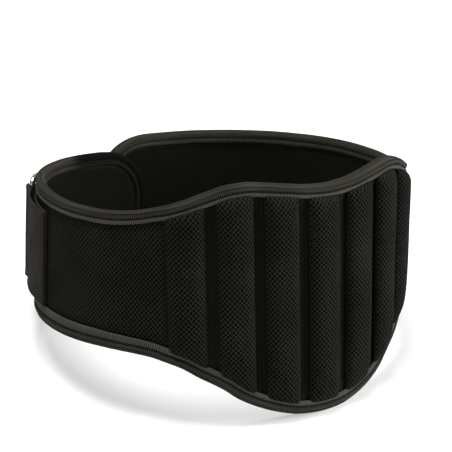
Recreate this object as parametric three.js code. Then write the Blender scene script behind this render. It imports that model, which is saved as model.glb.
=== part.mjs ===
// Padded weightlifting belt, fastened into its loop and standing by itself on its lower edge.
// Millimetres, +Z up. The middle of the back faces -Y, and the length runs towards +X there.
//
// Two coordinates place every piece. "along" is the distance along the belt from the middle of
// the back, negative towards the buckle. "out" is the distance outward from the loop line, which
// is the outer side of the edge binding. The belt's own height is measured from the lower edge
// of its narrow stretch. At the end the fastened loop is leaned until it stands on the floor.
import * as THREE from 'three';

// Main form
const BELT_LENGTH = 982;
const NARROW_HEIGHT = 108;
const LAP = 45; // length of one end that lies over the other
const WALL = 8; // through the binding, from its outer to its inner side
const CLEARANCE = 0.3; // between pieces that touch
const LAP_CLEARANCE = 0.5; // between the two ends where they lap
const TAPE = 1; // binding tape
const TAPE_CLEARANCE = 0.5; // between the tape and the wall inside it
const BINDING_LEG = 10; // how far the binding reaches in from the edge
const LINING = 1.5;
const STEP_LENGTH = 12.5; // longest facet along the belt

// Back lobe and rounded ends
const LOBE_REACH = 230;
const LOBE_RISE = 26.6;
const LOBE_DROP = 58.6;
const CORNER_LENGTH = 55;
const CORNER_HEIGHT = 42;
const CORNER_FULLNESS = 2.3; // 2 is an ellipse, and more is squarer
const CORNER_STEPS = 6;

// Padded ribs on the back
const RIB_COUNT = 7;
const RIB_PITCH = 38.6;
const RIB_WIDTH = 29.6;
const RIB_RISE = 6.6;
const RIB_EDGE = 0.8; // height of a rib's side at its seam
const RIB_END_LENGTH = 16;
const PAD_SWELL = 4; // how much thicker the wall is under the ribs
const PAD_SWELL_RAMP = 18;

// How the left end dives under the right one
const TUCK_LENGTH = 110;
const SAG = 7; // how much lower the left end hangs
const SAG_LENGTH = 150;

// Webbing, buckle and label
const WEBBING_WIDTH = 76;
const WEBBING = 2;
const STRAP_START = 276; // from the right end back to where the strap's seam starts
const STRAP_CREST = 10; // length in which the strap climbs onto the binding
const STRAP_TIP_GAP = 3; // from the label's end to the tip of the folded-back strap
const LABEL_LENGTH = 184;
const LABEL_HEIGHT = 64;
const LABEL = 1.2;
const LABEL_MARGIN = 2; // from the strap's seam to the label
const HIDDEN_BAR_FROM_END = 145; // from the left end to the bar inside the keeper
const KEEPER_LENGTH = 87; // from the hidden bar to the keeper's front edge
const KEEPER_TUNNEL = 13;
const BUCKLE_REACH = 41; // from bar to bar
const BUCKLE_HEIGHT = 88;
const BUCKLE_CORNER = 4.5; // on the wire's centre line
const WIRE_RADIUS = 2.4;
const FREE_BAR_RADIUS = 2.8;
const FREE_BAR_LIFT = 2; // of the free bar's centre over the loop line

// How finely bends are cut into facets
const LOOP_STEPS = 720;
const BAR_WRAP_STEPS = 8;
const TUNNEL_STEPS = 5;
const WIRE_SIDES = 8;
const CREST_STEP = 3;
const OVER_BINDING_STEP = 6;
const LEAD_STEP = 5;

// Half of the lobe's outline, from the middle of the back: along is a share of LOBE_REACH,
// rise a share of LOBE_RISE and drop a share of LOBE_DROP.
const LOBE_TABLE = [
  { along: 0.0, rise: 0.73, drop: 1.0 },
  { along: 0.09, rise: 0.77, drop: 0.98 },
  { along: 0.17, rise: 0.86, drop: 0.91 },
  { along: 0.25, rise: 0.95, drop: 0.8 },
  { along: 0.32, rise: 1.0, drop: 0.67 },
  { along: 0.38, rise: 0.95, drop: 0.51 },
  { along: 0.46, rise: 0.76, drop: 0.34 },
  { along: 0.54, rise: 0.51, drop: 0.17 },
  { along: 0.63, rise: 0.28, drop: 0.065 },
  { along: 0.72, rise: 0.12, drop: 0.02 },
  { along: 0.83, rise: 0.03, drop: 0.0 },
  { along: 1.0, rise: 0.0, drop: 0.0 },
];

// How sharply the loop bends: along is a share of the loop's length, and bend is a share of a
// round loop's. The stiff ribbed back is flatter than the sides and the front.
const BEND_TABLE = [
  { along: -6 / 12, bend: 1.4 },
  { along: -5 / 12, bend: 1.18 },
  { along: -4 / 12, bend: 1.18 },
  { along: -3 / 12, bend: 1.26 },
  { along: -2 / 12, bend: 0.88 },
  { along: -1 / 12, bend: 0.3 },
  { along: 0, bend: 0.55 },
  { along: 1 / 12, bend: 0.5 },
  { along: 2 / 12, bend: 0.78 },
  { along: 3 / 12, bend: 1.08 },
  { along: 4 / 12, bend: 1.58 },
  { along: 5 / 12, bend: 1.32 },
  { along: 6 / 12, bend: 1.4 },
];

// Sizes that follow from the others
const HALF_LENGTH = BELT_LENGTH / 2;
const LOOP_LENGTH = BELT_LENGTH - LAP;
const EDGE_INSET = TAPE + TAPE_CLEARANCE;
const PANEL_FACE = -EDGE_INSET;
const LINING_FACE = EDGE_INSET - WALL;
const TUCK_DEPTH = WALL + LAP_CLEARANCE;
const BELT_MIDDLE = NARROW_HEIGHT / 2;

/** Joins the rows of a table with a smooth curve that never overshoots a row. */
function smoothTable(rows, key) {
  const slope = (i) => (rows[i + 1][key] - rows[i][key]) / (rows[i + 1].along - rows[i].along);
  const tangents = rows.map((row, i) => {
    if (i === 0 || i === rows.length - 1) return 0;
    const before = slope(i - 1);
    const after = slope(i);
    return before * after <= 0 ? 0 : (2 * before * after) / (before + after);
  });
  return (along) => {
    const last = rows.length - 2;
    let i = 0;
    while (i < last && along > rows[i + 1].along) i += 1;
    const width = rows[i + 1].along - rows[i].along;
    const t = THREE.MathUtils.clamp((along - rows[i].along) / width, 0, 1);
    const rest = 1 - t;
    return (
      rows[i][key] * rest * rest * (1 + 2 * t) +
      rows[i + 1][key] * t * t * (3 - 2 * t) +
      tangents[i] * width * t * rest * rest -
      tangents[i + 1] * width * t * t * rest
    );
  };
}

const lobeRise = smoothTable(LOBE_TABLE, 'rise');
const lobeDrop = smoothTable(LOBE_TABLE, 'drop');
const ramp = (value) => THREE.MathUtils.smoothstep(value, 0, 1);

/** Height that a rounded end takes off the outline. */
function cornerCut(along) {
  const share = THREE.MathUtils.clamp((Math.abs(along) - HALF_LENGTH) / CORNER_LENGTH + 1, 0, 1);
  return CORNER_HEIGHT * (1 - Math.sqrt(Math.max(0, 1 - share ** CORNER_FULLNESS)));
}

/** How far the left end hangs below the right one. */
function sag(along) {
  const share = THREE.MathUtils.clamp((SAG_LENGTH - HALF_LENGTH + LAP - along) / SAG_LENGTH, 0, 1);
  return SAG * share ** 2;
}

const topEdge = (along) =>
  NARROW_HEIGHT + LOBE_RISE * lobeRise(Math.abs(along) / LOBE_REACH) - cornerCut(along) - sag(along);
const lowerEdge = (along) =>
  cornerCut(along) - LOBE_DROP * lobeDrop(Math.abs(along) / LOBE_REACH) - sag(along);

/** Extra thickness under the ribs, which fades out past the outermost seam. */
function padSwell(along) {
  const padded = (RIB_PITCH * (RIB_COUNT - 1) + RIB_WIDTH) / 2;
  return PAD_SWELL * ramp((padded + PAD_SWELL_RAMP - Math.abs(along)) / PAD_SWELL_RAMP);
}

/** How far the left end lies inside the loop line. */
function tuck(along) {
  return TUCK_DEPTH * ramp((-along - HALF_LENGTH + LAP + TUCK_LENGTH) / TUCK_LENGTH);
}

/** Lays out the loop line from BEND_TABLE and returns a lookup by distance along it. */
function layOutLoop() {
  const count = LOOP_STEPS;
  const bend = smoothTable(BEND_TABLE, 'bend');
  const bends = Array.from({ length: count + 1 }, (_, i) => bend(i / count - 0.5));
  const headings = [0];
  for (let i = 1; i <= count; i += 1) headings.push(headings[i - 1] + (bends[i - 1] + bends[i]) / 2);
  const turn = (2 * Math.PI) / headings[count];
  const start = headings[count / 2] * turn;
  const line = [new THREE.Vector2(0, 0)];
  for (let i = 1; i <= count; i += 1) {
    const heading = ((headings[i - 1] + headings[i]) / 2) * turn - start;
    line.push(line[i - 1].clone().add(new THREE.Vector2(Math.cos(heading), Math.sin(heading))));
  }
  const miss = line[count].clone().sub(line[0]);
  line.forEach((point, i) => point.addScaledVector(miss, -i / count));
  const run = [0];
  for (let i = 1; i <= count; i += 1) run.push(run[i - 1] + line[i].distanceTo(line[i - 1]));
  const scale = LOOP_LENGTH / run[count];
  const middle = run[count / 2] * scale;
  const origin = line[count / 2].clone();
  line.forEach((point) => point.sub(origin).multiplyScalar(scale));
  const side = (i) => {
    const ahead = line[(i + 1) % count];
    const behind = line[(i - 1 + count) % count];
    return new THREE.Vector2(ahead.y - behind.y, behind.x - ahead.x).normalize();
  };
  return (along) => {
    const wrapped = THREE.MathUtils.euclideanModulo(along + middle, LOOP_LENGTH) / scale;
    let i = Math.min(count - 1, Math.floor((wrapped / run[count]) * count));
    while (i > 0 && run[i] > wrapped) i -= 1;
    while (i < count - 1 && run[i + 1] < wrapped) i += 1;
    const t = (wrapped - run[i]) / (run[i + 1] - run[i]);
    return {
      point: line[i].clone().lerp(line[i + 1], t),
      outward: side(i).lerp(side(i + 1), t).normalize(),
    };
  };
}

const loopAt = layOutLoop();

/** A plan point beside the loop line. */
function besideLoop(along, out) {
  const { point, outward } = loopAt(along);
  return point.addScaledVector(outward, out);
}

/** A point of the belt itself, whose left end is tucked in. */
function onBelt(along, height, out) {
  const plan = besideLoop(along, out - tuck(along));
  return new THREE.Vector3(plan.x, plan.y, height);
}

/** Closes rings of points into one body, as a closed loop or with an end cap at each end. */
function sweep(rings, closed = false) {
  const size = rings[0].length;
  const count = rings.length;
  const positions = rings.flat().flatMap((point) => point.toArray());
  const triangles = [];
  const spans = closed ? count : count - 1;
  for (let i = 0; i < spans; i += 1) {
    const here = i * size;
    const next = ((i + 1) % count) * size;
    for (let j = 0; j < size; j += 1) {
      const k = (j + 1) % size;
      triangles.push(here + j, here + k, next + k, here + j, next + k, next + j);
    }
  }
  const cap = (base, flip) => {
    for (let j = 0; j < size / 2 - 1; j += 1) {
      const quad = [base + j, base + j + 1, base + size - 2 - j, base + size - 1 - j];
      if (flip) quad.reverse();
      triangles.push(quad[0], quad[2], quad[1], quad[0], quad[3], quad[2]);
    }
  };
  if (!closed) {
    cap(0, false);
    cap((count - 1) * size, true);
  }
  const geometry = new THREE.BufferGeometry();
  geometry.setAttribute('position', new THREE.Float32BufferAttribute(positions, 3));
  geometry.setIndex(signedVolume(positions, triangles) < 0 ? triangles.reverse() : triangles);
  geometry.computeVertexNormals();
  return geometry;
}

/** Volume inside a closed surface, negative when its faces point in. */
function signedVolume(positions, triangles) {
  const corner = (i) => new THREE.Vector3().fromArray(positions, triangles[i] * 3);
  let total = 0;
  for (let i = 0; i < triangles.length; i += 3) {
    total += corner(i).dot(corner(i + 1).cross(corner(i + 2))) / 6;
  }
  return total;
}

/** Even steps from one distance to another, none longer than STEP_LENGTH. */
function steps(from, to, longest = STEP_LENGTH) {
  const count = Math.max(1, Math.ceil(Math.abs(to - from) / longest));
  return Array.from({ length: count + 1 }, (_, i) => from + ((to - from) * i) / count);
}

/** Distances along the whole belt, closer together round its ends. */
function beltStations() {
  const straight = HALF_LENGTH - CORNER_LENGTH;
  const corner = Array.from({ length: CORNER_STEPS }, (_, i) => {
    const angle = ((i + 1) / CORNER_STEPS) * (Math.PI / 2);
    return straight + CORNER_LENGTH * Math.sin(angle) ** (2 / CORNER_FULLNESS);
  });
  return [...corner.map((along) => -along).reverse(), ...steps(-straight, straight), ...corner];
}

/** The outline as lower and upper points, each with its direction into the belt. */
function beltOutline() {
  const stations = beltStations();
  const lower = stations.map((along) => new THREE.Vector2(along, lowerEdge(along)));
  const upper = stations.map((along) => new THREE.Vector2(along, topEdge(along)));
  const round = [...lower, ...[...upper].reverse()];
  return round.map((point, i) => {
    const ahead = round[(i + 1) % round.length];
    const behind = round[(i - 1 + round.length) % round.length];
    const inward = new THREE.Vector2(behind.y - ahead.y, ahead.x - behind.x).normalize();
    return { point, inward };
  });
}

const OUTLINE = beltOutline();

/** A point of the wall, a distance in from an outline point and out from the loop line. */
function onOutline({ point, inward }, depth, out) {
  const along = point.x + inward.x * depth;
  const height = point.y + inward.y * depth;
  return onBelt(along, height, out + (out > -WALL / 2 ? padSwell(along) : 0));
}

/** A layer of the wall between two distances from the loop line. */
function wallLayer(outside, inside) {
  const half = OUTLINE.length / 2;
  const rings = [];
  for (let i = 0; i < half; i += 1) {
    const lower = OUTLINE[i];
    const upper = OUTLINE[OUTLINE.length - 1 - i];
    rings.push([
      onOutline(lower, EDGE_INSET, outside),
      onOutline(upper, EDGE_INSET, outside),
      onOutline(upper, EDGE_INSET, inside),
      onOutline(lower, EDGE_INSET, inside),
    ]);
  }
  return sweep(rings);
}

/** Tape folded over the whole edge, with softened outer corners. */
function edgeBinding() {
  const section = [
    { depth: BINDING_LEG, out: 0 },
    { depth: TAPE, out: 0 },
    { depth: 0, out: -TAPE },
    { depth: 0, out: TAPE - WALL },
    { depth: TAPE, out: -WALL },
    { depth: BINDING_LEG, out: -WALL },
    { depth: BINDING_LEG, out: TAPE - WALL },
    { depth: TAPE, out: TAPE - WALL },
    { depth: TAPE, out: -TAPE },
    { depth: BINDING_LEG, out: -TAPE },
  ];
  return sweep(OUTLINE.map((spot) => section.map(({ depth, out }) => onOutline(spot, depth, out))), true);
}

/** One padded rib between the upper and lower binding, domed across and rounded at its ends. */
function ribPad(index) {
  const middle = (index - (RIB_COUNT - 1) / 2) * RIB_PITCH;
  const across = [-1, -0.94, -0.78, -0.42, 0, 0.42, 0.78, 0.94, 1];
  const inset = (edge, along) => {
    const slope = edge(along + 1) - edge(along - 1);
    return (BINDING_LEG + CLEARANCE) * Math.hypot(1, slope / 2);
  };
  const length = topEdge(middle) - lowerEdge(middle) - 2 * BINDING_LEG;
  const end = RIB_END_LENGTH / length;
  const lengthwise = [0, end * 0.12, end * 0.4, end, 0.5, 1 - end, 1 - end * 0.4, 1 - end * 0.12, 1];
  const seat = PANEL_FACE + CLEARANCE;
  const rings = lengthwise.map((t) => {
    const fromEnd = Math.min(1, Math.min(t, 1 - t) / end);
    const fullness = 0.25 + 0.75 * Math.sqrt(1 - (1 - fromEnd) ** 2);
    const place = (share, rise) => {
      const along = middle + (share * RIB_WIDTH) / 2;
      const low = lowerEdge(along) + inset(lowerEdge, along);
      const high = topEdge(along) - inset(topEdge, along);
      return onBelt(along, low + (high - low) * t, seat + padSwell(along) + rise);
    };
    const crown = (share) => RIB_EDGE + (RIB_RISE - RIB_EDGE) * fullness * Math.sqrt(1 - share ** 4);
    return [
      ...across.map((share) => place(share, crown(share))),
      ...[...across].reverse().map((share) => place(share, 0)),
    ];
  });
  return sweep(rings);
}

/** A strip of webbing on edge, along plan points at its mid thickness. */
function webbingStrip(path, thickness, width) {
  const rings = path.map((point, i) => {
    const ahead = path[Math.min(i + 1, path.length - 1)];
    const behind = path[Math.max(i - 1, 0)];
    const side = new THREE.Vector2(ahead.y - behind.y, behind.x - ahead.x).setLength(thickness / 2);
    const corner = (sign, end) =>
      new THREE.Vector3(point.x + sign * side.x, point.y + sign * side.y, BELT_MIDDLE + (end * width) / 2);
    return [corner(1, -1), corner(1, 1), corner(-1, 1), corner(-1, -1)];
  });
  return sweep(rings);
}

// Where the webbing lies: its middle on the panel, and on a first layer of webbing.
const FIRST_LAYER = PANEL_FACE + CLEARANCE + WEBBING / 2;
const SECOND_LAYER = FIRST_LAYER + WEBBING + CLEARANCE;
const OVER_BINDING = CLEARANCE + WEBBING / 2;
const HIDDEN_BAR = {
  along: HIDDEN_BAR_FROM_END - HALF_LENGTH,
  out: FIRST_LAYER + WEBBING / 2 + CLEARANCE + WIRE_RADIUS,
};
const FREE_BAR = { along: HIDDEN_BAR.along - BUCKLE_REACH, out: FREE_BAR_LIFT };
const LABEL_START = HALF_LENGTH - STRAP_START + LABEL_MARGIN;
const LABEL_END = LABEL_START + LABEL_LENGTH;

/** Plan points half round a bar, from its inner side to its outer side. */
function wrapBar(bar, radius, sign) {
  const reach = radius + CLEARANCE + WEBBING / 2;
  return Array.from({ length: BAR_WRAP_STEPS + 1 }, (_, i) => {
    const angle = (i / BAR_WRAP_STEPS) * Math.PI;
    return besideLoop(bar.along + sign * reach * Math.sin(angle), bar.out - reach * Math.cos(angle));
  });
}

/** Plan points that ease from one distance out to another. */
function ease(from, to, outFrom, outTo, longest) {
  return steps(from, to, longest).map((along, i, all) => {
    const share = ramp(i / (all.length - 1));
    return besideLoop(along, outFrom + (outTo - outFrom) * share);
  });
}

/** Webbing folded round the hidden bar, with both layers sewn to the panel behind it. */
function buckleKeeper() {
  const reach = WIRE_RADIUS + CLEARANCE + WEBBING / 2;
  const front = HIDDEN_BAR.along + KEEPER_LENGTH;
  const seam = HIDDEN_BAR.along + KEEPER_TUNNEL;
  const overBar = HIDDEN_BAR.out + reach;
  const inner = ease(front, seam, FIRST_LAYER, FIRST_LAYER);
  const outer = ease(seam, front, SECOND_LAYER, SECOND_LAYER);
  const roof = ease(HIDDEN_BAR.along, seam, overBar, SECOND_LAYER, KEEPER_TUNNEL / TUNNEL_STEPS);
  const turn = wrapBar(HIDDEN_BAR, WIRE_RADIUS, -1);
  return webbingStrip([...inner, ...turn, ...roof.slice(1), ...outer.slice(1)], WEBBING, WEBBING_WIDTH);
}

/** Where the strap's edges first meet the binding round the right end. */
function strapMeetsBinding() {
  const level = BELT_MIDDLE - WEBBING_WIDTH / 2 - CLEARANCE;
  const stride = 0.5;
  let along = HALF_LENGTH - CORNER_LENGTH;
  const legTop = () => {
    const slope = (lowerEdge(along + stride) - lowerEdge(along - stride)) / (2 * stride);
    return lowerEdge(along) + BINDING_LEG * Math.hypot(1, slope);
  };
  while (along < HALF_LENGTH - BINDING_LEG - TAPE && legTop() < level) along += stride;
  return along - TAPE;
}

/** Strap sewn to the right end, led under the free bar and folded back over itself. */
function waistStrap() {
  const reach = FREE_BAR_RADIUS + CLEARANCE + WEBBING / 2;
  const bar = FREE_BAR.along + LOOP_LENGTH;
  const edge = strapMeetsBinding();
  const crest = edge - STRAP_CREST;
  const past = HALF_LENGTH + TAPE;
  const back = WEBBING + CLEARANCE;
  const base = [
    ...ease(HALF_LENGTH - STRAP_START, crest, FIRST_LAYER, FIRST_LAYER),
    ...ease(crest, edge, FIRST_LAYER, OVER_BINDING, CREST_STEP).slice(1),
    ...ease(edge, past, OVER_BINDING, OVER_BINDING, OVER_BINDING_STEP).slice(1),
  ];
  const lead = ease(past, bar - reach, OVER_BINDING, FREE_BAR.out - reach, LEAD_STEP).slice(1);
  const wrap = wrapBar({ along: bar, out: FREE_BAR.out }, FREE_BAR_RADIUS, 1);
  const tail = [
    ...ease(bar - reach, past, FREE_BAR.out + reach, OVER_BINDING + back, LEAD_STEP),
    ...ease(past, edge, OVER_BINDING + back, OVER_BINDING + back, OVER_BINDING_STEP).slice(1),
    ...ease(edge, crest, OVER_BINDING + back, FIRST_LAYER + back, CREST_STEP).slice(1),
    ...ease(crest, LABEL_END + STRAP_TIP_GAP, FIRST_LAYER + back, FIRST_LAYER + back).slice(1),
  ];
  return webbingStrip([...base, ...lead, ...wrap, ...tail], WEBBING, WEBBING_WIDTH);
}

/** Bare label panel on the strap. */
function labelPanel() {
  const out = FIRST_LAYER + WEBBING / 2 + CLEARANCE + LABEL / 2;
  return webbingStrip(ease(LABEL_START, LABEL_END, out, out), LABEL, LABEL_HEIGHT);
}

/** Rectangular wire loop whose free bar is the thicker one. */
function buckleLoop() {
  const hidden = besideLoop(HIDDEN_BAR.along, HIDDEN_BAR.out);
  const free = besideLoop(FREE_BAR.along, FREE_BAR.out);
  const reach = new THREE.Vector3(free.x - hidden.x, free.y - hidden.y, 0);
  const middle = new THREE.Vector3((free.x + hidden.x) / 2, (free.y + hidden.y) / 2, BELT_MIDDLE);
  const ahead = reach.clone().normalize();
  const up = new THREE.Vector3(0, 0, 1);
  const through = new THREE.Vector3().crossVectors(ahead, up);
  const halfReach = reach.length() / 2;
  const halfHeight = BUCKLE_HEIGHT / 2 - WIRE_RADIUS;
  const quarters = [
    { ahead: 1, up: 1, from: 0, radii: [FREE_BAR_RADIUS, WIRE_RADIUS] },
    { ahead: -1, up: 1, from: 1, radii: [WIRE_RADIUS, WIRE_RADIUS] },
    { ahead: -1, up: -1, from: 2, radii: [WIRE_RADIUS, WIRE_RADIUS] },
    { ahead: 1, up: -1, from: 3, radii: [WIRE_RADIUS, FREE_BAR_RADIUS] },
  ];
  const rings = quarters.flatMap((quarter) =>
    [0, 0.25, 0.5, 0.75, 1].map((share) => {
      const angle = ((quarter.from + share) * Math.PI) / 2;
      const away = ahead.clone().multiplyScalar(Math.cos(angle)).addScaledVector(up, Math.sin(angle));
      const centre = middle
        .clone()
        .addScaledVector(ahead, quarter.ahead * (halfReach - BUCKLE_CORNER))
        .addScaledVector(up, quarter.up * (halfHeight - BUCKLE_CORNER))
        .addScaledVector(away, BUCKLE_CORNER);
      const radius = THREE.MathUtils.lerp(...quarter.radii, share);
      return Array.from({ length: WIRE_SIDES }, (_, j) => {
        const turn = ((j + 0.5) / WIRE_SIDES) * 2 * Math.PI;
        return centre
          .clone()
          .addScaledVector(away, radius * Math.cos(turn))
          .addScaledVector(through, radius * Math.sin(turn));
      });
    }),
  );
  return sweep(rings, true);
}

// Finishes: colour, roughness and how metallic each one is
const MESH_BLACK = { color: 0x17181a, roughness: 0.9, metalness: 0 };
const LINING_BLACK = { color: 0x101111, roughness: 0.8, metalness: 0 };
const TAPE_TAUPE = { color: 0x37332f, roughness: 0.85, metalness: 0 };
const WEBBING_GREY = { color: 0x2b2826, roughness: 0.85, metalness: 0 };
const LABEL_BLACK = { color: 0x0d0d0e, roughness: 0.7, metalness: 0 };
const BRIGHT_STEEL = { color: 0xc9cbc8, roughness: 0.25, metalness: 1 };

const loop = new THREE.Group();

/** Adds a named piece with its own material. */
function addPiece(name, geometry, finish) {
  const mesh = new THREE.Mesh(geometry, new THREE.MeshStandardMaterial(finish));
  mesh.name = name;
  loop.add(mesh);
}

addPiece('outer_panel', wallLayer(PANEL_FACE, LINING_FACE + LINING + CLEARANCE), MESH_BLACK);
addPiece('inner_lining', wallLayer(LINING_FACE + LINING, LINING_FACE), LINING_BLACK);
addPiece('edge_binding', edgeBinding(), TAPE_TAUPE);
for (let i = 0; i < RIB_COUNT; i += 1) addPiece(`rib_pad_${i + 1}`, ribPad(i), MESH_BLACK);
addPiece('waist_strap', waistStrap(), WEBBING_GREY);
addPiece('label_panel', labelPanel(), LABEL_BLACK);
addPiece('buckle_keeper', buckleKeeper(), WEBBING_GREY);
addPiece('buckle_loop', buckleLoop(), BRIGHT_STEEL);

/** The middle of the weight, with metal counted at its own share. */
function balancePoint() {
  const metalWeight = 20; // steel to padded cloth
  const sum = new THREE.Vector3();
  let total = 0;
  loop.children.forEach(({ geometry, material }) => {
    const weight = material.metalness > 0 ? metalWeight : 1;
    const corner = (i) => new THREE.Vector3().fromBufferAttribute(geometry.attributes.position, geometry.index.getX(i));
    for (let i = 0; i < geometry.index.count; i += 3) {
      const [a, b, c] = [corner(i), corner(i + 1), corner(i + 2)];
      const share = (weight * a.dot(b.clone().cross(c))) / 6;
      sum.addScaledVector(a.add(b).add(c), share / 4);
      total += share;
    }
  });
  return sum.divideScalar(total);
}

/** Leans the loop to the nearest pose in which its weight sits lowest, so that it stands. */
function standUp() {
  const balance = balancePoint();
  const feet = loop.getObjectByName('edge_binding').geometry.attributes.position;
  const drop = (leanX, leanY) => {
    const turn = new THREE.Euler(leanX, leanY, 0);
    const down = new THREE.Vector3(0, 0, -1).applyQuaternion(new THREE.Quaternion().setFromEuler(turn).invert());
    const foot = new THREE.Vector3();
    let deepest = 0;
    for (let i = 0; i < feet.count; i += 1) {
      deepest = Math.max(deepest, foot.fromBufferAttribute(feet, i).sub(balance).dot(down));
    }
    return deepest;
  };
  const depth = loopAt(LOOP_LENGTH / 2).point.y;
  let lean = { x: -Math.atan2(LOBE_DROP, depth), y: 0 };
  let height = drop(lean.x, lean.y);
  const firstTilt = 0.03;
  const lastTilt = 1e-6;
  const ways = 12;
  for (let reach = firstTilt; reach > lastTilt; ) {
    const tries = [];
    for (let i = 0; i < ways; i += 1) {
      const angle = (i / ways) * 2 * Math.PI;
      tries.push({ x: lean.x + reach * Math.cos(angle), y: lean.y + reach * Math.sin(angle) });
    }
    const heights = tries.map(({ x, y }) => drop(x, y));
    const best = heights.indexOf(Math.min(...heights));
    if (heights[best] < height) {
      height = heights[best];
      lean = tries[best];
    } else {
      reach /= 2;
    }
  }
  loop.rotation.set(lean.x, lean.y, 0);
  loop.updateMatrixWorld(true);
  const box = new THREE.Box3().setFromObject(loop, true);
  loop.position.set(-(box.min.x + box.max.x) / 2, -(box.min.y + box.max.y) / 2, -box.min.z);
}

standUp();

const belt = new THREE.Group();
belt.add(loop);
export default belt;
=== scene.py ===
"""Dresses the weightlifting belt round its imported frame, for the studio picture.

Every cloth piece is cut and sewn flat, as the maker does it: x runs along the belt from the
middle of the back, y up it and z outward from the loop line, in millimetres. The sewn piece is
then wrapped round the fastened loop and leaned with it, which gives metres in the row frame.
"""
import logging
import math
from dataclasses import dataclass
from enum import Enum
from typing import Callable, Optional, Sequence, Union

import bmesh
import bpy
import numpy as np
from mathutils import Matrix, Vector


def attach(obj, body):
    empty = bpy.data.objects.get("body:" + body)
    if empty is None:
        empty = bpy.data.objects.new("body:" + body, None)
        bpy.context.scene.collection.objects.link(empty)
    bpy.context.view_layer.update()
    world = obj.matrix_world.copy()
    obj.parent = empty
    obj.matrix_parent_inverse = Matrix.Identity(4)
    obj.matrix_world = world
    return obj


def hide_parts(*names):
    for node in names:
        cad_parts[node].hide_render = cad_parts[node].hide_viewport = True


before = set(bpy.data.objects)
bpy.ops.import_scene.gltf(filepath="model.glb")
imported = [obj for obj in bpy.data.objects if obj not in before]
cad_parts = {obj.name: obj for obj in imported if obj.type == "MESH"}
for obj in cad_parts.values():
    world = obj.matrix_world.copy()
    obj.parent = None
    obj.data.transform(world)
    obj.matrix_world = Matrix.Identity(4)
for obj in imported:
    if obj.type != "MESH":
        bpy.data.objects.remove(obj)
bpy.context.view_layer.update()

LOG = logging.getLogger("belt")
MM = 0.001
FLAT_MAP = "flat"
FACE_MASK = "face"
CLOTH_RUN = "cloth_run"

Value = Union[float, tuple, "Signal", bpy.types.NodeSocket, str, bool, int]


class Slot(Enum):
    """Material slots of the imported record."""

    AIR_MESH = "air_mesh"
    LINING = "lining"
    BINDING = "binding"
    WEBBING = "webbing"
    LABEL = "label"
    STEEL = "bright_steel"


class Side(Enum):
    """The two faces of the belt's wall."""

    OUTER = "outer"
    INNER = "inner"


class Wave(Enum):
    """The irregular waves in the work: each one's seed and its longest wave in millimetres."""

    PANEL_ALONG = (3, 95.0)
    PANEL_UP = (4, 80.0)
    LINING_ALONG = (7, 130.0)
    LINING_UP = (8, 150.0)
    TAPE_SWING = (11, 61.0)
    TAPE_ROLL = (12, 37.0)
    RIB_PUCKER = (20, 23.0)
    RIB_GATHER = (40, 11.0)
    RIB_SLACK = (60, 120.0)
    STRAP_EDGE = (31, 47.0)
    KEEPER_EDGE = (32, 47.0)
    LABEL_PUFF = (33, 70.0)


class Signal:
    """A number in a node tree. Python arithmetic on it adds Math nodes."""

    def __init__(self, graph: "Graph", socket: bpy.types.NodeSocket) -> None:
        """Wraps one output socket of a tree.

        Args:
            graph: The tree that the socket belongs to.
            socket: The output socket that carries the number.
        """
        self.graph = graph
        self.socket = socket

    def _math(self, operation: str, *values: Value) -> "Signal":
        """Adds one Math node.

        Args:
            operation: The node's operation.
            values: Its inputs, in order.

        Returns:
            The node's result.
        """
        node = self.graph.node("ShaderNodeMath", {"operation": operation}, dict(enumerate(values)))
        return Signal(self.graph, node.outputs[0])

    def __add__(self, other: Value) -> "Signal":
        """self + other."""
        return self._math("ADD", self, other)

    def __radd__(self, other: Value) -> "Signal":
        """other + self."""
        return self._math("ADD", other, self)

    def __sub__(self, other: Value) -> "Signal":
        """self - other."""
        return self._math("SUBTRACT", self, other)

    def __rsub__(self, other: Value) -> "Signal":
        """other - self."""
        return self._math("SUBTRACT", other, self)

    def __mul__(self, other: Value) -> "Signal":
        """self * other."""
        return self._math("MULTIPLY", self, other)

    def __rmul__(self, other: Value) -> "Signal":
        """other * self."""
        return self._math("MULTIPLY", other, self)

    def __truediv__(self, other: Value) -> "Signal":
        """self / other."""
        return self._math("DIVIDE", self, other)

    def cosine(self) -> "Signal":
        """Cosine of the number, in radians."""
        return self._math("COSINE", self)

    def least(self, other: Value) -> "Signal":
        """The smaller of two numbers."""
        return self._math("MINIMUM", self, other)

    def most(self, other: Value) -> "Signal":
        """The larger of two numbers."""
        return self._math("MAXIMUM", self, other)

    def ramp(self, low: Value, high: Value) -> "Signal":
        """Eases from 0 to 1 between two values.

        Args:
            low: Where the result is still 0.
            high: Where it has become 1.

        Returns:
            The eased share.
        """
        node = self.graph.node(
            "ShaderNodeMapRange",
            {"interpolation_type": "SMOOTHSTEP"},
            {"Value": self, "From Min": low, "From Max": high},
        )
        return Signal(self.graph, node.outputs["Result"])


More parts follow.
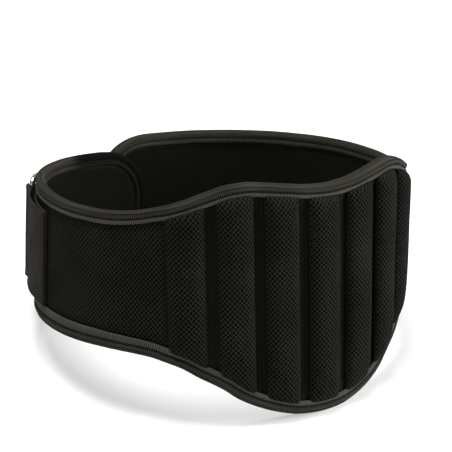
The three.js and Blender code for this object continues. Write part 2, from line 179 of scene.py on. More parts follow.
class Graph:
    """A node tree under construction."""

    def __init__(self, tree: bpy.types.NodeTree) -> None:
        """Starts from an empty tree.

        Args:
            tree: The tree to fill.
        """
        self.tree = tree

    def node(self, kind: str, settings: Optional[dict] = None,
             inputs: Optional[dict] = None) -> bpy.types.Node:
        """Adds a node, sets its properties and then its sockets.

        Args:
            kind: Blender's name for the node's type.
            settings: Properties to set first.
            inputs: Values or links of input sockets, by name or number.

        Returns:
            The new node.
        """
        made = self.tree.nodes.new(kind)
        for name, value in (settings or {}).items():
            setattr(made, name, value)
        for key, value in (inputs or {}).items():
            source = value.socket if isinstance(value, Signal) else value
            if isinstance(source, bpy.types.NodeSocket):
                self.tree.links.new(source, made.inputs[key])
            else:
                made.inputs[key].default_value = source
        return made

    def signal(self, kind: str, output: Union[str, int] = 0, settings: Optional[dict] = None,
               inputs: Optional[dict] = None) -> Signal:
        """Adds a node and returns one of its outputs as a number.

        Args:
            kind: Blender's name for the node's type.
            output: The output's name or number.
            settings: Properties to set first.
            inputs: Values or links of input sockets.

        Returns:
            The chosen output.
        """
        return Signal(self, self.node(kind, settings, inputs).outputs[output])

    def axes(self, vector: bpy.types.NodeSocket) -> tuple[Signal, Signal, Signal]:
        """The three parts of a vector socket."""
        parts = self.node("ShaderNodeSeparateXYZ", None, {0: vector})
        return tuple(Signal(self, parts.outputs[i]) for i in range(3))


class FinishGraph(Graph):
    """A material's node tree, with the texture helpers that cloth and metal need."""

    def __init__(self, name: str) -> None:
        """Makes a material whose tree holds only its output.

        Args:
            name: The material's name.
        """
        self.material = bpy.data.materials.new(name)
        self.material.use_nodes = True
        super().__init__(self.material.node_tree)
        self.tree.nodes.clear()
        self.place = self.node("ShaderNodeTexCoord").outputs["Object"]

    def flat(self) -> tuple[Signal, Signal]:
        """Distances along and up the sewn piece, in millimetres, from its own map."""
        along, up, _ = self.axes(self.node("ShaderNodeUVMap", {"uv_map": FLAT_MAP}).outputs[0])
        return along / MM, up / MM

    def mask(self) -> Signal:
        """The share that the mesh carries for each point, such as how open the mesh cloth is, and the painted
        light and shade on the tape.
        """
        return self.signal("ShaderNodeAttribute", "Fac", {"attribute_name": FACE_MASK})

    def noise(self, grain: float, detail: float = 3.0, at: Optional[bpy.types.NodeSocket] = None) -> Signal:
        """Cloudy noise over the surface.

        Args:
            grain: Size of one cloud, in millimetres.
            detail: Octaves of finer noise.
            at: Where it is read; the object's own coordinates if left out.

        Returns:
            Noise round 0.5.
        """
        inputs = {"Vector": at or self.place, "Scale": 1 / (grain * MM), "Detail": detail}
        return self.signal("ShaderNodeTexNoise", 0, None, inputs)

    def wave(self, distance: Signal, pitch: float) -> Signal:
        """A cosine wave over a distance, from -1 to 1."""
        return (distance * (2 * math.pi / pitch)).cosine()

    def ribbing(self, distance: Signal, pitch: float) -> Signal:
        """Ribs or threads over a distance, from 0 between them to 1 on each."""
        return self.wave(distance, pitch) * 0.5 + 0.5

    def stretched(self, scale: tuple[float, float, float]) -> bpy.types.NodeSocket:
        """Object coordinates scaled on each axis, for noise that is drawn out one way."""
        return self.node("ShaderNodeMapping", None, {"Vector": self.place, "Scale": scale}).outputs[0]

    def blend(self, share: Value, low: Value, high: Value) -> bpy.types.NodeSocket:
        """Mixes two colours.

        Args:
            share: 0 gives the first and 1 the second.
            low: First colour or colour socket.
            high: Second colour or colour socket.

        Returns:
            The mixed colour.
        """
        node = self.node("ShaderNodeMix", {"data_type": "RGBA"}, {0: share, 6: low, 7: high})
        return node.outputs[2]

    def bump(self, height: Signal, depth: float) -> bpy.types.NodeSocket:
        """Turns a height into a surface normal.

        Args:
            height: Height from 0 to 1.
            depth: What 1 stands for, in millimetres.

        Returns:
            The bumped normal.
        """
        inputs = {"Height": height, "Distance": depth * MM, "Strength": 1.0}
        return self.node("ShaderNodeBump", None, inputs).outputs[0]

    def shade(self, **inputs: Value) -> bpy.types.Material:
        """Closes the tree with one surface shader.

        Args:
            inputs: The shader's sockets, with underscores for spaces.

        Returns:
            The finished material.
        """
        sockets = {name.replace("_", " "): value for name, value in inputs.items()}
        shader = self.node("ShaderNodeBsdfPrincipled", None, sockets)
        self.node("ShaderNodeOutputMaterial", None, {"Surface": shader.outputs[0]})
        return self.material


def rgb(red: float, green: float, blue: float) -> tuple[float, float, float, float]:
    """An opaque colour."""
    return red, green, blue, 1.0


@dataclass(frozen=True)
class AirMeshFinish:
    """Black spacer mesh: a knit with staggered rows of small holes, closed where it is pressed."""

    pitch_along: float = 3.75
    pitch_up: float = 4.2
    knit: tuple = rgb(0.0062, 0.0062, 0.0052)
    worn: tuple = rgb(0.0205, 0.0202, 0.017)
    hole: tuple = rgb(0.0004, 0.0004, 0.0003)
    sewn: tuple = rgb(0.0155, 0.0154, 0.0132)
    thread_pitch: float = 0.85
    hole_drift: float = 2.2
    hole_edge: tuple = (0.37, 0.67)
    relief: float = 0.4

    def material(self) -> bpy.types.Material:
        """Builds the mesh cloth.

        Returns:
            The material.
        """
        g = FinishGraph("air_mesh_cloth")
        along, up = g.flat()
        share = g.mask()
        is_open = share.ramp(0.15, 0.95)
        lattice = g.wave(along, self.pitch_along) * g.wave(up, self.pitch_up)
        drift = g.noise(1.3, 1.0) - 0.5
        holes = (lattice + drift * self.hole_drift).ramp(*self.hole_edge) * is_open
        threads = g.ribbing(up, self.thread_pitch)
        strands = g.ribbing(along + up, self.thread_pitch)
        cloud = g.noise(38.0, 2.0)
        knots = (lattice * -1).ramp(-0.2, 0.9) * is_open
        lit = (knots * 0.45 + threads * 0.3 + strands * 0.25 + cloud * 0.6 - 0.36).ramp(0.0, 1.0)
        cloth = g.blend((share * -1).ramp(0.0, 0.8), g.blend(lit, self.knit, self.worn), self.sewn)
        colour = g.blend(holes, cloth, self.hole)
        relief = (1 - holes) * (0.75 + threads * 0.15 + strands * 0.1)
        return g.shade(
            Base_Color=colour,
            Roughness=0.95 - lit * 0.15,
            Normal=g.bump(relief, self.relief),
            Specular_IOR_Level=0.015,
        )


@dataclass(frozen=True)
class LiningFinish:
    """Smooth black lining of the body side."""

    cloth: tuple = rgb(0.0036, 0.0036, 0.0029)
    # In the lining this is the colour of rubbed cloth, spread at random by noise.
    rubbed_and_painted_light: tuple = rgb(0.0068, 0.0067, 0.0056)
    thread_pitch: float = 0.7

    def material(self) -> bpy.types.Material:
        """Builds the lining cloth.

        Returns:
            The material.
        """
        g = FinishGraph("lining_cloth")
        along, up = g.flat()
        weave = g.wave(along, self.thread_pitch) * g.wave(up, self.thread_pitch) * 0.5 + 0.5
        cloud = g.noise(45.0, 3.0)
        lint = g.noise(3.0, 4.0)
        lit = (cloud * 0.7 + lint * 0.5 - 0.2).ramp(0.1, 0.8)
        return g.shade(
            Base_Color=g.blend(lit, self.cloth, self.rubbed_and_painted_light),
            Roughness=0.88 - lit * 0.12,
            Normal=g.bump(weave * 0.4 + lint * 0.6, 0.12),
            Specular_IOR_Level=0.02,
        )


@dataclass(frozen=True)
class TapeFinish:
    """Grosgrain binding tape: close ribs across it, painted shade that darkens the seam groove, and a painted
    highlight that makes the free lip paler.
    """

    rib_pitch: float = 1.6
    rib_wobble: float = 0.35
    streak_stretch: float = 0.035
    relief: float = 0.32
    tape: tuple = rgb(0.0105, 0.0097, 0.0078)
    crest: tuple = rgb(0.0425, 0.0397, 0.0316)
    # Colour of the painted highlight on the free lip, the ridge and the roll.
    lip: tuple = rgb(0.071, 0.0668, 0.0545)
    # Colour of the painted shade in the seam groove, the valley, on the fold at the very edge and on the
    # tucked inner end.
    groove: tuple = rgb(0.0028, 0.0027, 0.0021)

    def material(self) -> bpy.types.Material:
        """Builds the tape cloth.

        Returns:
            The material.
        """
        g = FinishGraph("binding_tape")
        along, across = g.flat()
        wobble = g.noise(6.0, 2.0) - 0.5
        ribs = g.ribbing(along + wobble * self.rib_wobble, self.rib_pitch)
        # The face share is painted light: above 0 it paints a highlight towards the lip colour, below 0 it
        # paints shade towards the groove colour.
        rubbed_and_painted_light = g.mask()
        cloud = g.noise(22.0, 3.0)
        drawn = g.node(
            "ShaderNodeCombineXYZ", None, {"X": along * MM * self.streak_stretch, "Y": across * MM})
        streaks = g.noise(1.7, 2.0, drawn.outputs[0])
        tone = (ribs * 0.6 + streaks * 1.1 + cloud * 0.4 - 0.62).ramp(0.0, 1.0)
        body = g.blend(tone, self.tape, self.crest)
        edge = (rubbed_and_painted_light * (0.1 + ribs * 0.9 + cloud * 0.3)).ramp(0.08, 0.95)
        shade = (rubbed_and_painted_light * -1).ramp(0.05, 0.9)
        fibre = g.noise(0.9, 2.0)
        return g.shade(
            Base_Color=g.blend(shade, g.blend(edge, body, self.lip), self.groove),
            Roughness=0.92 - tone * 0.12,
            Normal=g.bump(ribs * 0.7 + streaks * 0.4 + fibre * 0.2, self.relief),
            Specular_IOR_Level=0.03,
        )


@dataclass(frozen=True)
class WebbingFinish:
    """Dark grey brushed webbing with cords along it."""

    name: str = "brushed_webbing"
    cord_pitch: float = 1.5
    pick_pitch: float = 0.8
    base: tuple = rgb(0.0135, 0.0121, 0.0092)
    brushed: tuple = rgb(0.0375, 0.0341, 0.0265)

    def material(self) -> bpy.types.Material:
        """Builds the webbing.

        Returns:
            The material.
        """
        g = FinishGraph(self.name)
        along, up = g.flat()
        cords = g.ribbing(up, self.cord_pitch)
        picks = g.ribbing(along, self.pick_pitch)
        fluff = g.noise(1.6, 4.0)
        cloud = g.noise(26.0, 3.0)
        tone = (cords * 0.3 + picks * 0.15 + fluff * 0.5 + cloud * 0.6 - 0.4).ramp(0.0, 1.0)
        return g.shade(
            Base_Color=g.blend(tone, self.base, self.brushed),
            Roughness=0.95 - tone * 0.12,
            Normal=g.bump(cords * 0.5 + picks * 0.2 + fluff * 0.5, 0.25),
            Specular_IOR_Level=0.03,
        )


@dataclass(frozen=True)
class LabelFinish:
    """Matt black label cloth, bare, with a very fine grain."""

    base: tuple = rgb(0.0046, 0.0046, 0.0046)
    scuffed: tuple = rgb(0.0105, 0.0104, 0.01)

    def material(self) -> bpy.types.Material:
        """Builds the label cloth.

        Returns:
            The material.
        """
        g = FinishGraph("label_cloth")
        grain = g.noise(0.8, 3.0)
        cloud = g.noise(30.0, 3.0)
        lit = (grain * 0.4 + cloud * 0.8 - 0.15).ramp(0.1, 0.9)
        return g.shade(
            Base_Color=g.blend(lit, self.base, self.scuffed),
            Roughness=0.62 + grain * 0.18,
            Normal=g.bump(grain, 0.08),
            Specular_IOR_Level=0.05,
        )


@dataclass(frozen=True)
class ThreadFinish:
    """Twisted sewing thread."""

    name: str
    dark: tuple
    pale: tuple

    def material(self) -> bpy.types.Material:
        """Builds the thread.

        Returns:
            The material.
        """
        g = FinishGraph(self.name)
        twist = g.noise(0.5, 2.0)
        return g.shade(
            Base_Color=g.blend(twist.ramp(0.3, 0.7), self.dark, self.pale),
            Roughness=0.7 + twist * 0.2,
            Normal=g.bump(twist, 0.1),
            Specular_IOR_Level=0.1,
        )


@dataclass(frozen=True)
class WireFinish:
    """Bright plated wire with faint draw marks and a few dull spots."""

    plate: tuple = rgb(0.78, 0.79, 0.77)
    dull: tuple = rgb(0.5, 0.5, 0.48)
    draw_stretch: float = 0.08

    def material(self) -> bpy.types.Material:
        """Builds the plated wire.

        Returns:
            The material.
        """
        g = FinishGraph("bright_wire")
        draw = g.noise(1.0, 3.0, g.stretched((1.0, 1.0, self.draw_stretch)))
        spots = g.noise(4.0, 4.0).ramp(0.62, 0.78)
        return g.shade(
            Base_Color=g.blend(spots * 0.6, self.plate, self.dull),
            Metallic=1.0,
            Roughness=0.14 + draw * 0.12 + spots * 0.2,
            Normal=g.bump(draw, 0.02),
        )


@dataclass(frozen=True)
class FloorFinish:
    """Plain pale studio floor."""

    paper: tuple = rgb(0.58, 0.58, 0.58)
    glow: float = 0.42

    def material(self) -> bpy.types.Material:
        """Builds the floor paper.

        Returns:
            The material.
        """
        g = FinishGraph("studio_paper")
        return g.shade(
            Base_Color=self.paper,
            Roughness=0.9,
            Specular_IOR_Level=0.1,
            Emission_Color=rgb(1.0, 1.0, 1.0),
            Emission_Strength=self.glow,
        )


class GeometryTree(Graph):
    """A Geometry Nodes tree with named inputs, which ends in real faces of one material."""

    def __init__(self, name: str) -> None:
        """Starts a tree that takes and gives geometry.

        Args:
            name: The tree's name.
        """
        super().__init__(bpy.data.node_groups.new(name, "GeometryNodeTree"))
        self.names: dict[str, str] = {}
        self._socket("Geometry", "NodeSocketGeometry")
        self.tree.interface.new_socket(name="Geometry", in_out="OUTPUT", socket_type="NodeSocketGeometry")
        self.entry = self.node("NodeGroupInput")
        self.given = self.entry.outputs["Geometry"]

    def _socket(self, name: str, kind: str) -> None:
        """Adds a named input and keeps its identifier."""
        made = self.tree.interface.new_socket(name=name, in_out="INPUT", socket_type=kind)
        self.names[name] = made.identifier

    def number(self, name: str) -> Signal:
        """Adds a number to the tree's inputs.

        Args:
            name: The input's name.

        Returns:
            The number.
        """
        self._socket(name, "NodeSocketFloat")
        return Signal(self, self.entry.outputs[name])

    def attribute(self, name: str) -> Signal:
        """A number that the mesh carries for each point."""
        return self.signal("GeometryNodeInputNamedAttribute", 0, {"data_type": "FLOAT"}, {"Name": name})

    def close(self, geometry: bpy.types.NodeSocket) -> None:
        """Ends the tree in real faces that carry the "Material" input.

        Args:
            geometry: The geometry to give out.
        """
        self._socket("Material", "NodeSocketMaterial")
        real = self.node("GeometryNodeRealizeInstances", None, {0: geometry})
        dressed = self.node(
            "GeometryNodeSetMaterial",
            None,
            {"Geometry": real.outputs[0], "Material": self.entry.outputs["Material"]},
        )
        self.node("NodeGroupOutput", None, {"Geometry": dressed.outputs[0]})

    def grow(self, piece: bpy.types.Object, **values: Union[float, bpy.types.Material]) -> bpy.types.Object:
        """Runs the tree on a piece and keeps the result as its plain mesh.

        Args:
            piece: The object whose mesh the tree works on.
            values: The tree's inputs by name, with underscores for spaces.

        Returns:
            The same object.
        """
        modifier = piece.modifiers.new(self.tree.name, "NODES")
        modifier.node_group = self.tree
        for name, value in values.items():
            modifier[self.names[name.replace("_", " ")]] = value
        bpy.context.view_layer.update()
        grown = bpy.data.meshes.new_from_object(piece.evaluated_get(bpy.context.evaluated_depsgraph_get()))
        piece.modifiers.remove(modifier)
        old = piece.data
        piece.data = grown
        bpy.data.meshes.remove(old)
        return piece


def perforation_tree() -> GeometryTree:
    """Sinks a pit at every hole of a staggered lattice and lifts the knots between them.

    Returns:
        The tree, with the inputs Pitch Along, Pitch Up, Depth and Knot.
    """
    tree = GeometryTree("perforations")
    names = ("Pitch Along", "Pitch Up", "Depth", "Knot")
    pitch_along, pitch_up, depth, knot = (tree.number(name) for name in names)
    _, up, _ = tree.axes(tree.node("GeometryNodeInputPosition").outputs[0])
    along = tree.attribute(CLOTH_RUN)
    turn = 2 * math.pi
    wave = (along * turn / pitch_along).cosine() * (up * turn / pitch_up).cosine()
    drop = (wave.least(0) * -1 * knot - wave.most(0) * depth) * tree.attribute(FACE_MASK)
    shift = tree.node("ShaderNodeCombineXYZ", None, {"Z": drop})
    moved = tree.node(
        "GeometryNodeSetPosition", None, {"Geometry": tree.given, "Offset": shift.outputs[0]})
    tree.close(moved.outputs[0])
    return tree


def stitch_tree() -> GeometryTree:
    """Lays one rounded stitch after another along the edges of a seam's line.

    Returns:
        The tree, with the inputs Pitch, Stitch and Thread.
    """
    tree = GeometryTree("stitches")
    pitch, stitch, thread = (tree.number(name) for name in ("Pitch", "Stitch", "Thread"))
    line = tree.node("GeometryNodeMeshToCurve", None, {0: tree.given})
    spaced = tree.node(
        "GeometryNodeResampleCurve", {"mode": "LENGTH"}, {"Curve": line.outputs[0], "Length": pitch})
    ball = tree.node("GeometryNodeMeshUVSphere", None, {"Segments": 6, "Rings": 4, "Radius": 1.0})
    soft = tree.node("GeometryNodeSetShadeSmooth", None, {0: ball.outputs[0]})
    scale = tree.node("ShaderNodeCombineXYZ", None, {"X": thread, "Y": thread, "Z": stitch})
    tangent = tree.node("GeometryNodeInputTangent")
    turned = tree.node(
        "FunctionNodeAlignRotationToVector", {"axis": "Z"}, {"Vector": tangent.outputs[0]})
    laid = tree.node(
        "GeometryNodeInstanceOnPoints",
        None,
        {
            "Points": spaced.outputs[0],
            "Instance": soft.outputs[0],
            "Rotation": turned.outputs[0],
            "Scale": scale.outputs[0],
        },
    )
    tree.close(laid.outputs[0])
    return tree


def smooth_curve(rows: Sequence[tuple[float, float]]) -> Callable[[np.ndarray], np.ndarray]:
    """Joins the rows of a table with a smooth curve that never overshoots a row.

    Args:
        rows: Pairs of a place and the value there, in order.

    Returns:
        A function from places to values, level past both ends.
    """
    place, value = np.array(rows, float).T
    slope = np.diff(value) / np.diff(place)
    tangent = np.zeros_like(value)
    same_way = slope[:-1] * slope[1:] > 0
    both = 2 * slope[:-1] * slope[1:]
    tangent[1:-1][same_way] = both[same_way] / (slope[:-1] + slope[1:])[same_way]

    def evaluate(at: np.ndarray) -> np.ndarray:
        """Reads the curve.

        Args:
            at: Places along it.

        Returns:
            Its values there.
        """
        at = np.clip(at, place[0], place[-1])
        i = np.clip(np.searchsorted(place, at, side="right") - 1, 0, len(place) - 2)
        width = place[i + 1] - place[i]
        t = (at - place[i]) / width
        rest = 1 - t
        return (
            value[i] * rest * rest * (1 + 2 * t)
            + value[i + 1] * t * t * (3 - 2 * t)
            + tangent[i] * width * t * rest * rest
            - tangent[i + 1] * width * t * t * rest
        )

    return evaluate


def ease(share: np.ndarray) -> np.ndarray:
    """Eases from 0 to 1 as the share does."""
    share = np.clip(share, 0, 1)
    return share * share * (3 - 2 * share)


def pressed(distance: np.ndarray, width: float) -> np.ndarray:
    """Depth of a dip as a share: 1 in its middle, and soon 0 at more than its width."""
    return np.exp(-((distance / width) ** 2))


def distance_along(points: np.ndarray) -> np.ndarray:
    """Distance from the first of a run of points to each."""
    return np.concatenate([[0], np.cumsum(np.linalg.norm(np.diff(points, axis=0), axis=1))])


def unit_rows(vectors: np.ndarray) -> np.ndarray:
    """Vectors of length 1 with the same directions."""
    return vectors / np.linalg.norm(vectors, axis=1)[:, None]


def left_of(ahead: np.ndarray) -> np.ndarray:
    """Plane directions turned a quarter to the left, of length 1."""
    return unit_rows(np.column_stack([-ahead[:, 1], ahead[:, 0]]))


def add_object(name: str, data: bpy.types.ID) -> bpy.types.Object:
    """Puts a new object into the scene.

    Args:
        name: The object's name.
        data: Its mesh, lamp or camera.

    Returns:
        The object.
    """
    made = bpy.data.objects.new(name, data)
    bpy.context.scene.collection.objects.link(made)
    return made


def ripples(at: np.ndarray, wave: Wave, index: int = 0, terms: int = 5) -> np.ndarray:
    """A smooth irregular wave between about -1 and 1.

    Args:
        at: Places along it.
        wave: Which wave.
        index: Which of the like pieces that it is for, where each has its own.
        terms: How many plain waves are summed.

    Returns:
        The wave's height at each place.
    """
    seed, longest = wave.value
    chance = np.random.default_rng(seed + index)
    total = np.zeros_like(np.asarray(at, float))
    for i in range(terms):
        length = longest / (1 + 0.7 * i)
        total = total + np.sin(2 * math.pi * at / length + chance.uniform(0, 2 * math.pi)) / (1 + i)
    return total / 2


@dataclass(frozen=True)
class BeltForm:
    """Form of the whole belt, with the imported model's own sizes in millimetres."""

    length: float = 982.0
    narrow_height: float = 108.0
    lap: float = 45.0
    wall: float = 8.0
    clearance: float = 0.3
    lap_clearance: float = 0.5
    edge_inset: float = 1.5
    binding_leg: float = 10.0
    lobe_reach: float = 230.0
    lobe_rise: float = 26.6
    lobe_drop: float = 58.6
    corner_length: float = 55.0
    corner_height: float = 42.0
    corner_fullness: float = 2.3
    rib_count: int = 7
    rib_pitch: float = 38.6
    rib_width: float = 29.6
    pad_swell: float = 4.0
    pad_swell_ramp: float = 18.0
    tuck_length: float = 110.0
    sag_depth: float = 7.0
    sag_length: float = 150.0
    lean_x: float = -12.0494
    lean_y: float = 3.7106
    stand: tuple = (-1.7509, -136.9983, 59.0524)
    rise_rows: tuple = (
        (0.0, 0.73), (0.09, 0.77), (0.17, 0.86), (0.25, 0.95), (0.32, 1.0), (0.38, 0.95),
        (0.46, 0.76), (0.54, 0.51), (0.63, 0.28), (0.72, 0.12), (0.83, 0.03), (1.0, 0.0),
    )
    drop_rows: tuple = (
        (0.0, 1.0), (0.09, 0.98), (0.17, 0.91), (0.25, 0.8), (0.32, 0.67), (0.38, 0.51),
        (0.46, 0.34), (0.54, 0.17), (0.63, 0.065), (0.72, 0.02), (0.83, 0.0), (1.0, 0.0),
    )
    outline_points: int = 6001
    bends: tuple = (1.4, 1.18, 1.18, 1.26, 0.88, 0.3, 0.55, 0.5, 0.78, 1.08, 1.58, 1.32, 1.4)

    @property
    def half(self) -> float:
        """From the middle of the back to either end."""
        return self.length / 2

    @property
    def loop_length(self) -> float:
        """Round the fastened loop."""
        return self.length - self.lap

    @property
    def panel_face(self) -> float:
        """Where the mesh cloth lies, out from the loop line."""
        return -self.edge_inset

    @property
    def lining_face(self) -> float:
        """Where the lining's body side lies."""
        return self.edge_inset - self.wall

    @property
    def middle_height(self) -> float:
        """Half way up the narrow stretch, where the webbing runs."""
        return self.narrow_height / 2

    def rib_middles(self) -> list[float]:
        """Where each rib's middle lies along the belt."""
        return [(i - (self.rib_count - 1) / 2) * self.rib_pitch for i in range(self.rib_count)]

    def corner(self, along: np.ndarray) -> np.ndarray:
        """Height that the rounded ends take off each edge.

        Args:
            along: Places along the belt.

        Returns:
            The height at each.
        """
        share = np.clip((np.abs(along) - self.half) / self.corner_length + 1, 0, 1)
        full = np.maximum(0, 1 - share**self.corner_fullness)
        return self.corner_height * (1 - np.sqrt(full))

    def sag(self, along: np.ndarray) -> np.ndarray:
        """How much lower the left end hangs."""
        share = (self.sag_length - self.half + self.lap - along) / self.sag_length
        return self.sag_depth * np.clip(share, 0, 1) ** 2

    def top(self, along: np.ndarray) -> np.ndarray:
        """Height of the upper edge."""
        rise = smooth_curve(self.rise_rows)(np.abs(along) / self.lobe_reach)
        return self.narrow_height + self.lobe_rise * rise - self.corner(along) - self.sag(along)

    def low(self, along: np.ndarray) -> np.ndarray:
        """Height of the lower edge."""
        drop = smooth_curve(self.drop_rows)(np.abs(along) / self.lobe_reach)
        return self.corner(along) - self.lobe_drop * drop - self.sag(along)

    def swell(self, along: np.ndarray) -> np.ndarray:
        """Extra thickness under the ribs."""
        padded = (self.rib_pitch * (self.rib_count - 1) + self.rib_width) / 2
        return self.pad_swell * ease((padded + self.pad_swell_ramp - np.abs(along)) / self.pad_swell_ramp)

    def tuck(self, along: np.ndarray) -> np.ndarray:
        """How far the left end lies inside the loop line."""
        depth = self.wall + self.lap_clearance
        return depth * ease((-along - self.half + self.lap + self.tuck_length) / self.tuck_length)

    def outline(self, spacing: float) -> tuple[np.ndarray, np.ndarray, np.ndarray]:
        """The belt's whole edge, in even steps round it.

        Args:
            spacing: Length of a step.

        Returns:
            Points (along, height), their directions into the belt, and the distance round.
        """
        turn = np.linspace(-math.pi / 2, math.pi / 2, self.outline_points)
        along = self.half * np.sin(turn)
        lower = np.column_stack([along, self.low(along)])
        upper = np.column_stack([along, self.top(along)])[::-1]
        round_edge = np.vstack([lower, upper, lower[:1]])
        run = distance_along(round_edge)
        count = int(round(run[-1] / spacing))
        at = np.arange(count) * run[-1] / count
        points = np.column_stack([np.interp(at, run, round_edge[:, k]) for k in range(2)])
        ahead = np.roll(points, -1, axis=0) - np.roll(points, 1, axis=0)
        return points, left_of(ahead), at

    def inset_edges(self, depth: float) -> tuple[Callable, Callable, float]:
        """The belt's edges, moved into it.

        Args:
            depth: How far in.

        Returns:
            Functions of the distance along for the lower and the upper edge, and the half length.
        """
        points, inward, _ = self.outline(1.5)
        inner = points + inward * depth
        half = self.half - depth
        lower = inner[inward[:, 1] > 0]
        upper = inner[inward[:, 1] < 0]
        lower = lower[np.argsort(lower[:, 0])]
        upper = upper[np.argsort(upper[:, 0])]

        def lower_edge(along: np.ndarray) -> np.ndarray:
            """Height of the lower edge."""
            return np.interp(along, lower[:, 0], lower[:, 1])

        def upper_edge(along: np.ndarray) -> np.ndarray:
            """Height of the upper edge."""
            return np.interp(along, upper[:, 0], upper[:, 1])

        return lower_edge, upper_edge, half


class FastenedLoop:
    """Wraps flat work round the fastened loop and leans it as the belt stands."""

    def __init__(self, form: BeltForm, count: int = 720) -> None:
        """Lays out the loop line from the form's bends.

        Args:
            form: The belt's form.
            count: Steps round the loop.
        """
        self.form = form
        places = np.linspace(-0.5, 0.5, len(form.bends))
        bend = smooth_curve(list(zip(places, form.bends)))(np.arange(count + 1) / count - 0.5)
        heading = np.concatenate([[0], np.cumsum((bend[:-1] + bend[1:]) / 2)])
        heading = (heading - heading[count // 2]) * 2 * math.pi / heading[-1]
        middle = (heading[:-1] + heading[1:]) / 2
        steps = np.column_stack([np.cos(middle), np.sin(middle)])
        line = np.vstack([[0.0, 0.0], np.cumsum(steps, axis=0)])
        line -= np.outer(np.arange(count + 1) / count, line[-1] - line[0])
        run = distance_along(line)
        scale = form.loop_length / run[-1]
        self.line = (line - line[count // 2]) * scale
        self.run = run * scale
        self.middle = self.run[count // 2]
        step = np.arange(count + 1)
        ahead = self.line[(step + 1) % count] - self.line[(step - 1) % count]
        self.side = -left_of(ahead)
        turn_x, turn_y = math.radians(form.lean_x), math.radians(form.lean_y)
        lean = Matrix.Rotation(turn_x, 3, "X") @ Matrix.Rotation(turn_y, 3, "Y")
        self.lean = np.array(lean)

    def beside(self, along: np.ndarray, out: np.ndarray) -> np.ndarray:
        """Places points beside the loop line.

        Args:
            along: Distances along the belt from the middle of the back.
            out: Distances outward from the line.

        Returns:
            The points in plan.
        """
        at = np.mod(along + self.middle, self.form.loop_length)
        line, side = (np.column_stack([np.interp(at, self.run, rows[:, k]) for k in range(2)])
                      for rows in (self.line, self.side))
        return line + unit_rows(side) * np.asarray(out)[:, None]

    def stand(self, points: np.ndarray) -> np.ndarray:
        """Leans upright points with the belt, from millimetres to metres in the row frame."""
        return (points @ self.lean.T + np.array(self.form.stand)) * MM

    def wrap(self, piece: bpy.types.Object, tucked: bool = True,
             leaned: Optional[Callable[[np.ndarray, np.ndarray], np.ndarray]] = None) -> bpy.types.Object:
        """Wraps a flat piece round the loop, in its own mesh.

        Args:
            piece: The piece, sewn flat.
            tucked: Whether it follows the left end inside the right one.
            leaned: Where points lie along the belt, from upright places and heights, if the piece leans.

        Returns:
            The same object.
        """
        mesh = piece.data
        points = np.empty(len(mesh.vertices) * 3)
        mesh.vertices.foreach_get("co", points)
        along, height, out = points.reshape(-1, 3).T
        if leaned is not None:
            along = leaned(along, height)
        if tucked:
            out = out - self.form.tuck(along)
        placed = self.stand(np.column_stack([self.beside(along, out), height]))
        mesh.vertices.foreach_set("co", placed.ravel())
        mesh.update()
        return piece


@dataclass
class Cloth:
    """Flat work: its points, its faces, and where each face's corners lie on its map."""

    points: np.ndarray
    faces: list[list[int]]
    corners: np.ndarray
    mask: Optional[np.ndarray] = None
    run: Optional[np.ndarray] = None

    def object(self, name: str, smooth_below: float = 50.0) -> bpy.types.Object:
        """Makes an object of it, with its faces turned outward.

        Args:
            name: The piece's name.
            smooth_below: Edges that bend by more than this many degrees stay sharp.

        Returns:
            The new object, still flat.
        """
        mesh = bpy.data.meshes.new(name)
        mesh.from_pydata(self.points.tolist(), [], self.faces)
        layer = mesh.uv_layers.new(name=FLAT_MAP)
        layer.data.foreach_set("uv", (self.corners * MM).ravel())
        mask = self.mask if self.mask is not None else np.zeros(len(self.points))
        run = self.run if self.run is not None else self.points[:, 0]
        for title, values in ((FACE_MASK, mask), (CLOTH_RUN, run)):
            mesh.attributes.new(title, "FLOAT", "POINT").data.foreach_set("value", values)
        work = bmesh.new()
        work.from_mesh(mesh)
        bmesh.ops.recalc_face_normals(work, faces=work.faces)
        work.to_mesh(mesh)
        work.free()
        mesh.shade_smooth()
        mesh.set_sharp_from_angle(angle=math.radians(smooth_below))
        return add_object(name, mesh)


def swept(rings: np.ndarray, run: np.ndarray, girth: np.ndarray, closed: bool,
          mask: Optional[np.ndarray] = None) -> Cloth:
    """Joins rings of points into a closed body.

    Args:
        rings: Points by ring and by place on the ring.
        run: Distance to each ring, and once round if the path is closed.
        girth: Distance to each place on a ring, and once round.
        closed: Whether the last ring joins the first; otherwise both ends are capped.
        mask: A share for each place on a ring, the same on all rings or ring by ring.

    Returns:
        The body.
    """
    count, size = rings.shape[:2]
    i, j = np.meshgrid(np.arange(count if closed else count - 1), np.arange(size), indexing="ij")
    i, j = i.ravel(), j.ravel()
    after, beside = (i + 1) % count, (j + 1) % size
    quads = np.column_stack([i * size + j, i * size + beside, after * size + beside, after * size + j])
    along = np.column_stack([run[i], run[i], run[i + 1], run[i + 1]])
    round_it = np.column_stack([girth[j], girth[j + 1], girth[j + 1], girth[j]])
    faces = quads.tolist()
    corners = [np.stack([along, round_it], axis=-1).reshape(-1, 2)]
    if not closed:
        for ring in (0, count - 1):
            faces.append([ring * size + k for k in range(size)])
            corners.append(np.column_stack([np.full(size, run[ring]), girth[:size]]))
    share = None if mask is None else np.broadcast_to(mask, (count, size)).ravel()
    return Cloth(rings.reshape(-1, 3), faces, np.vstack(corners), share)


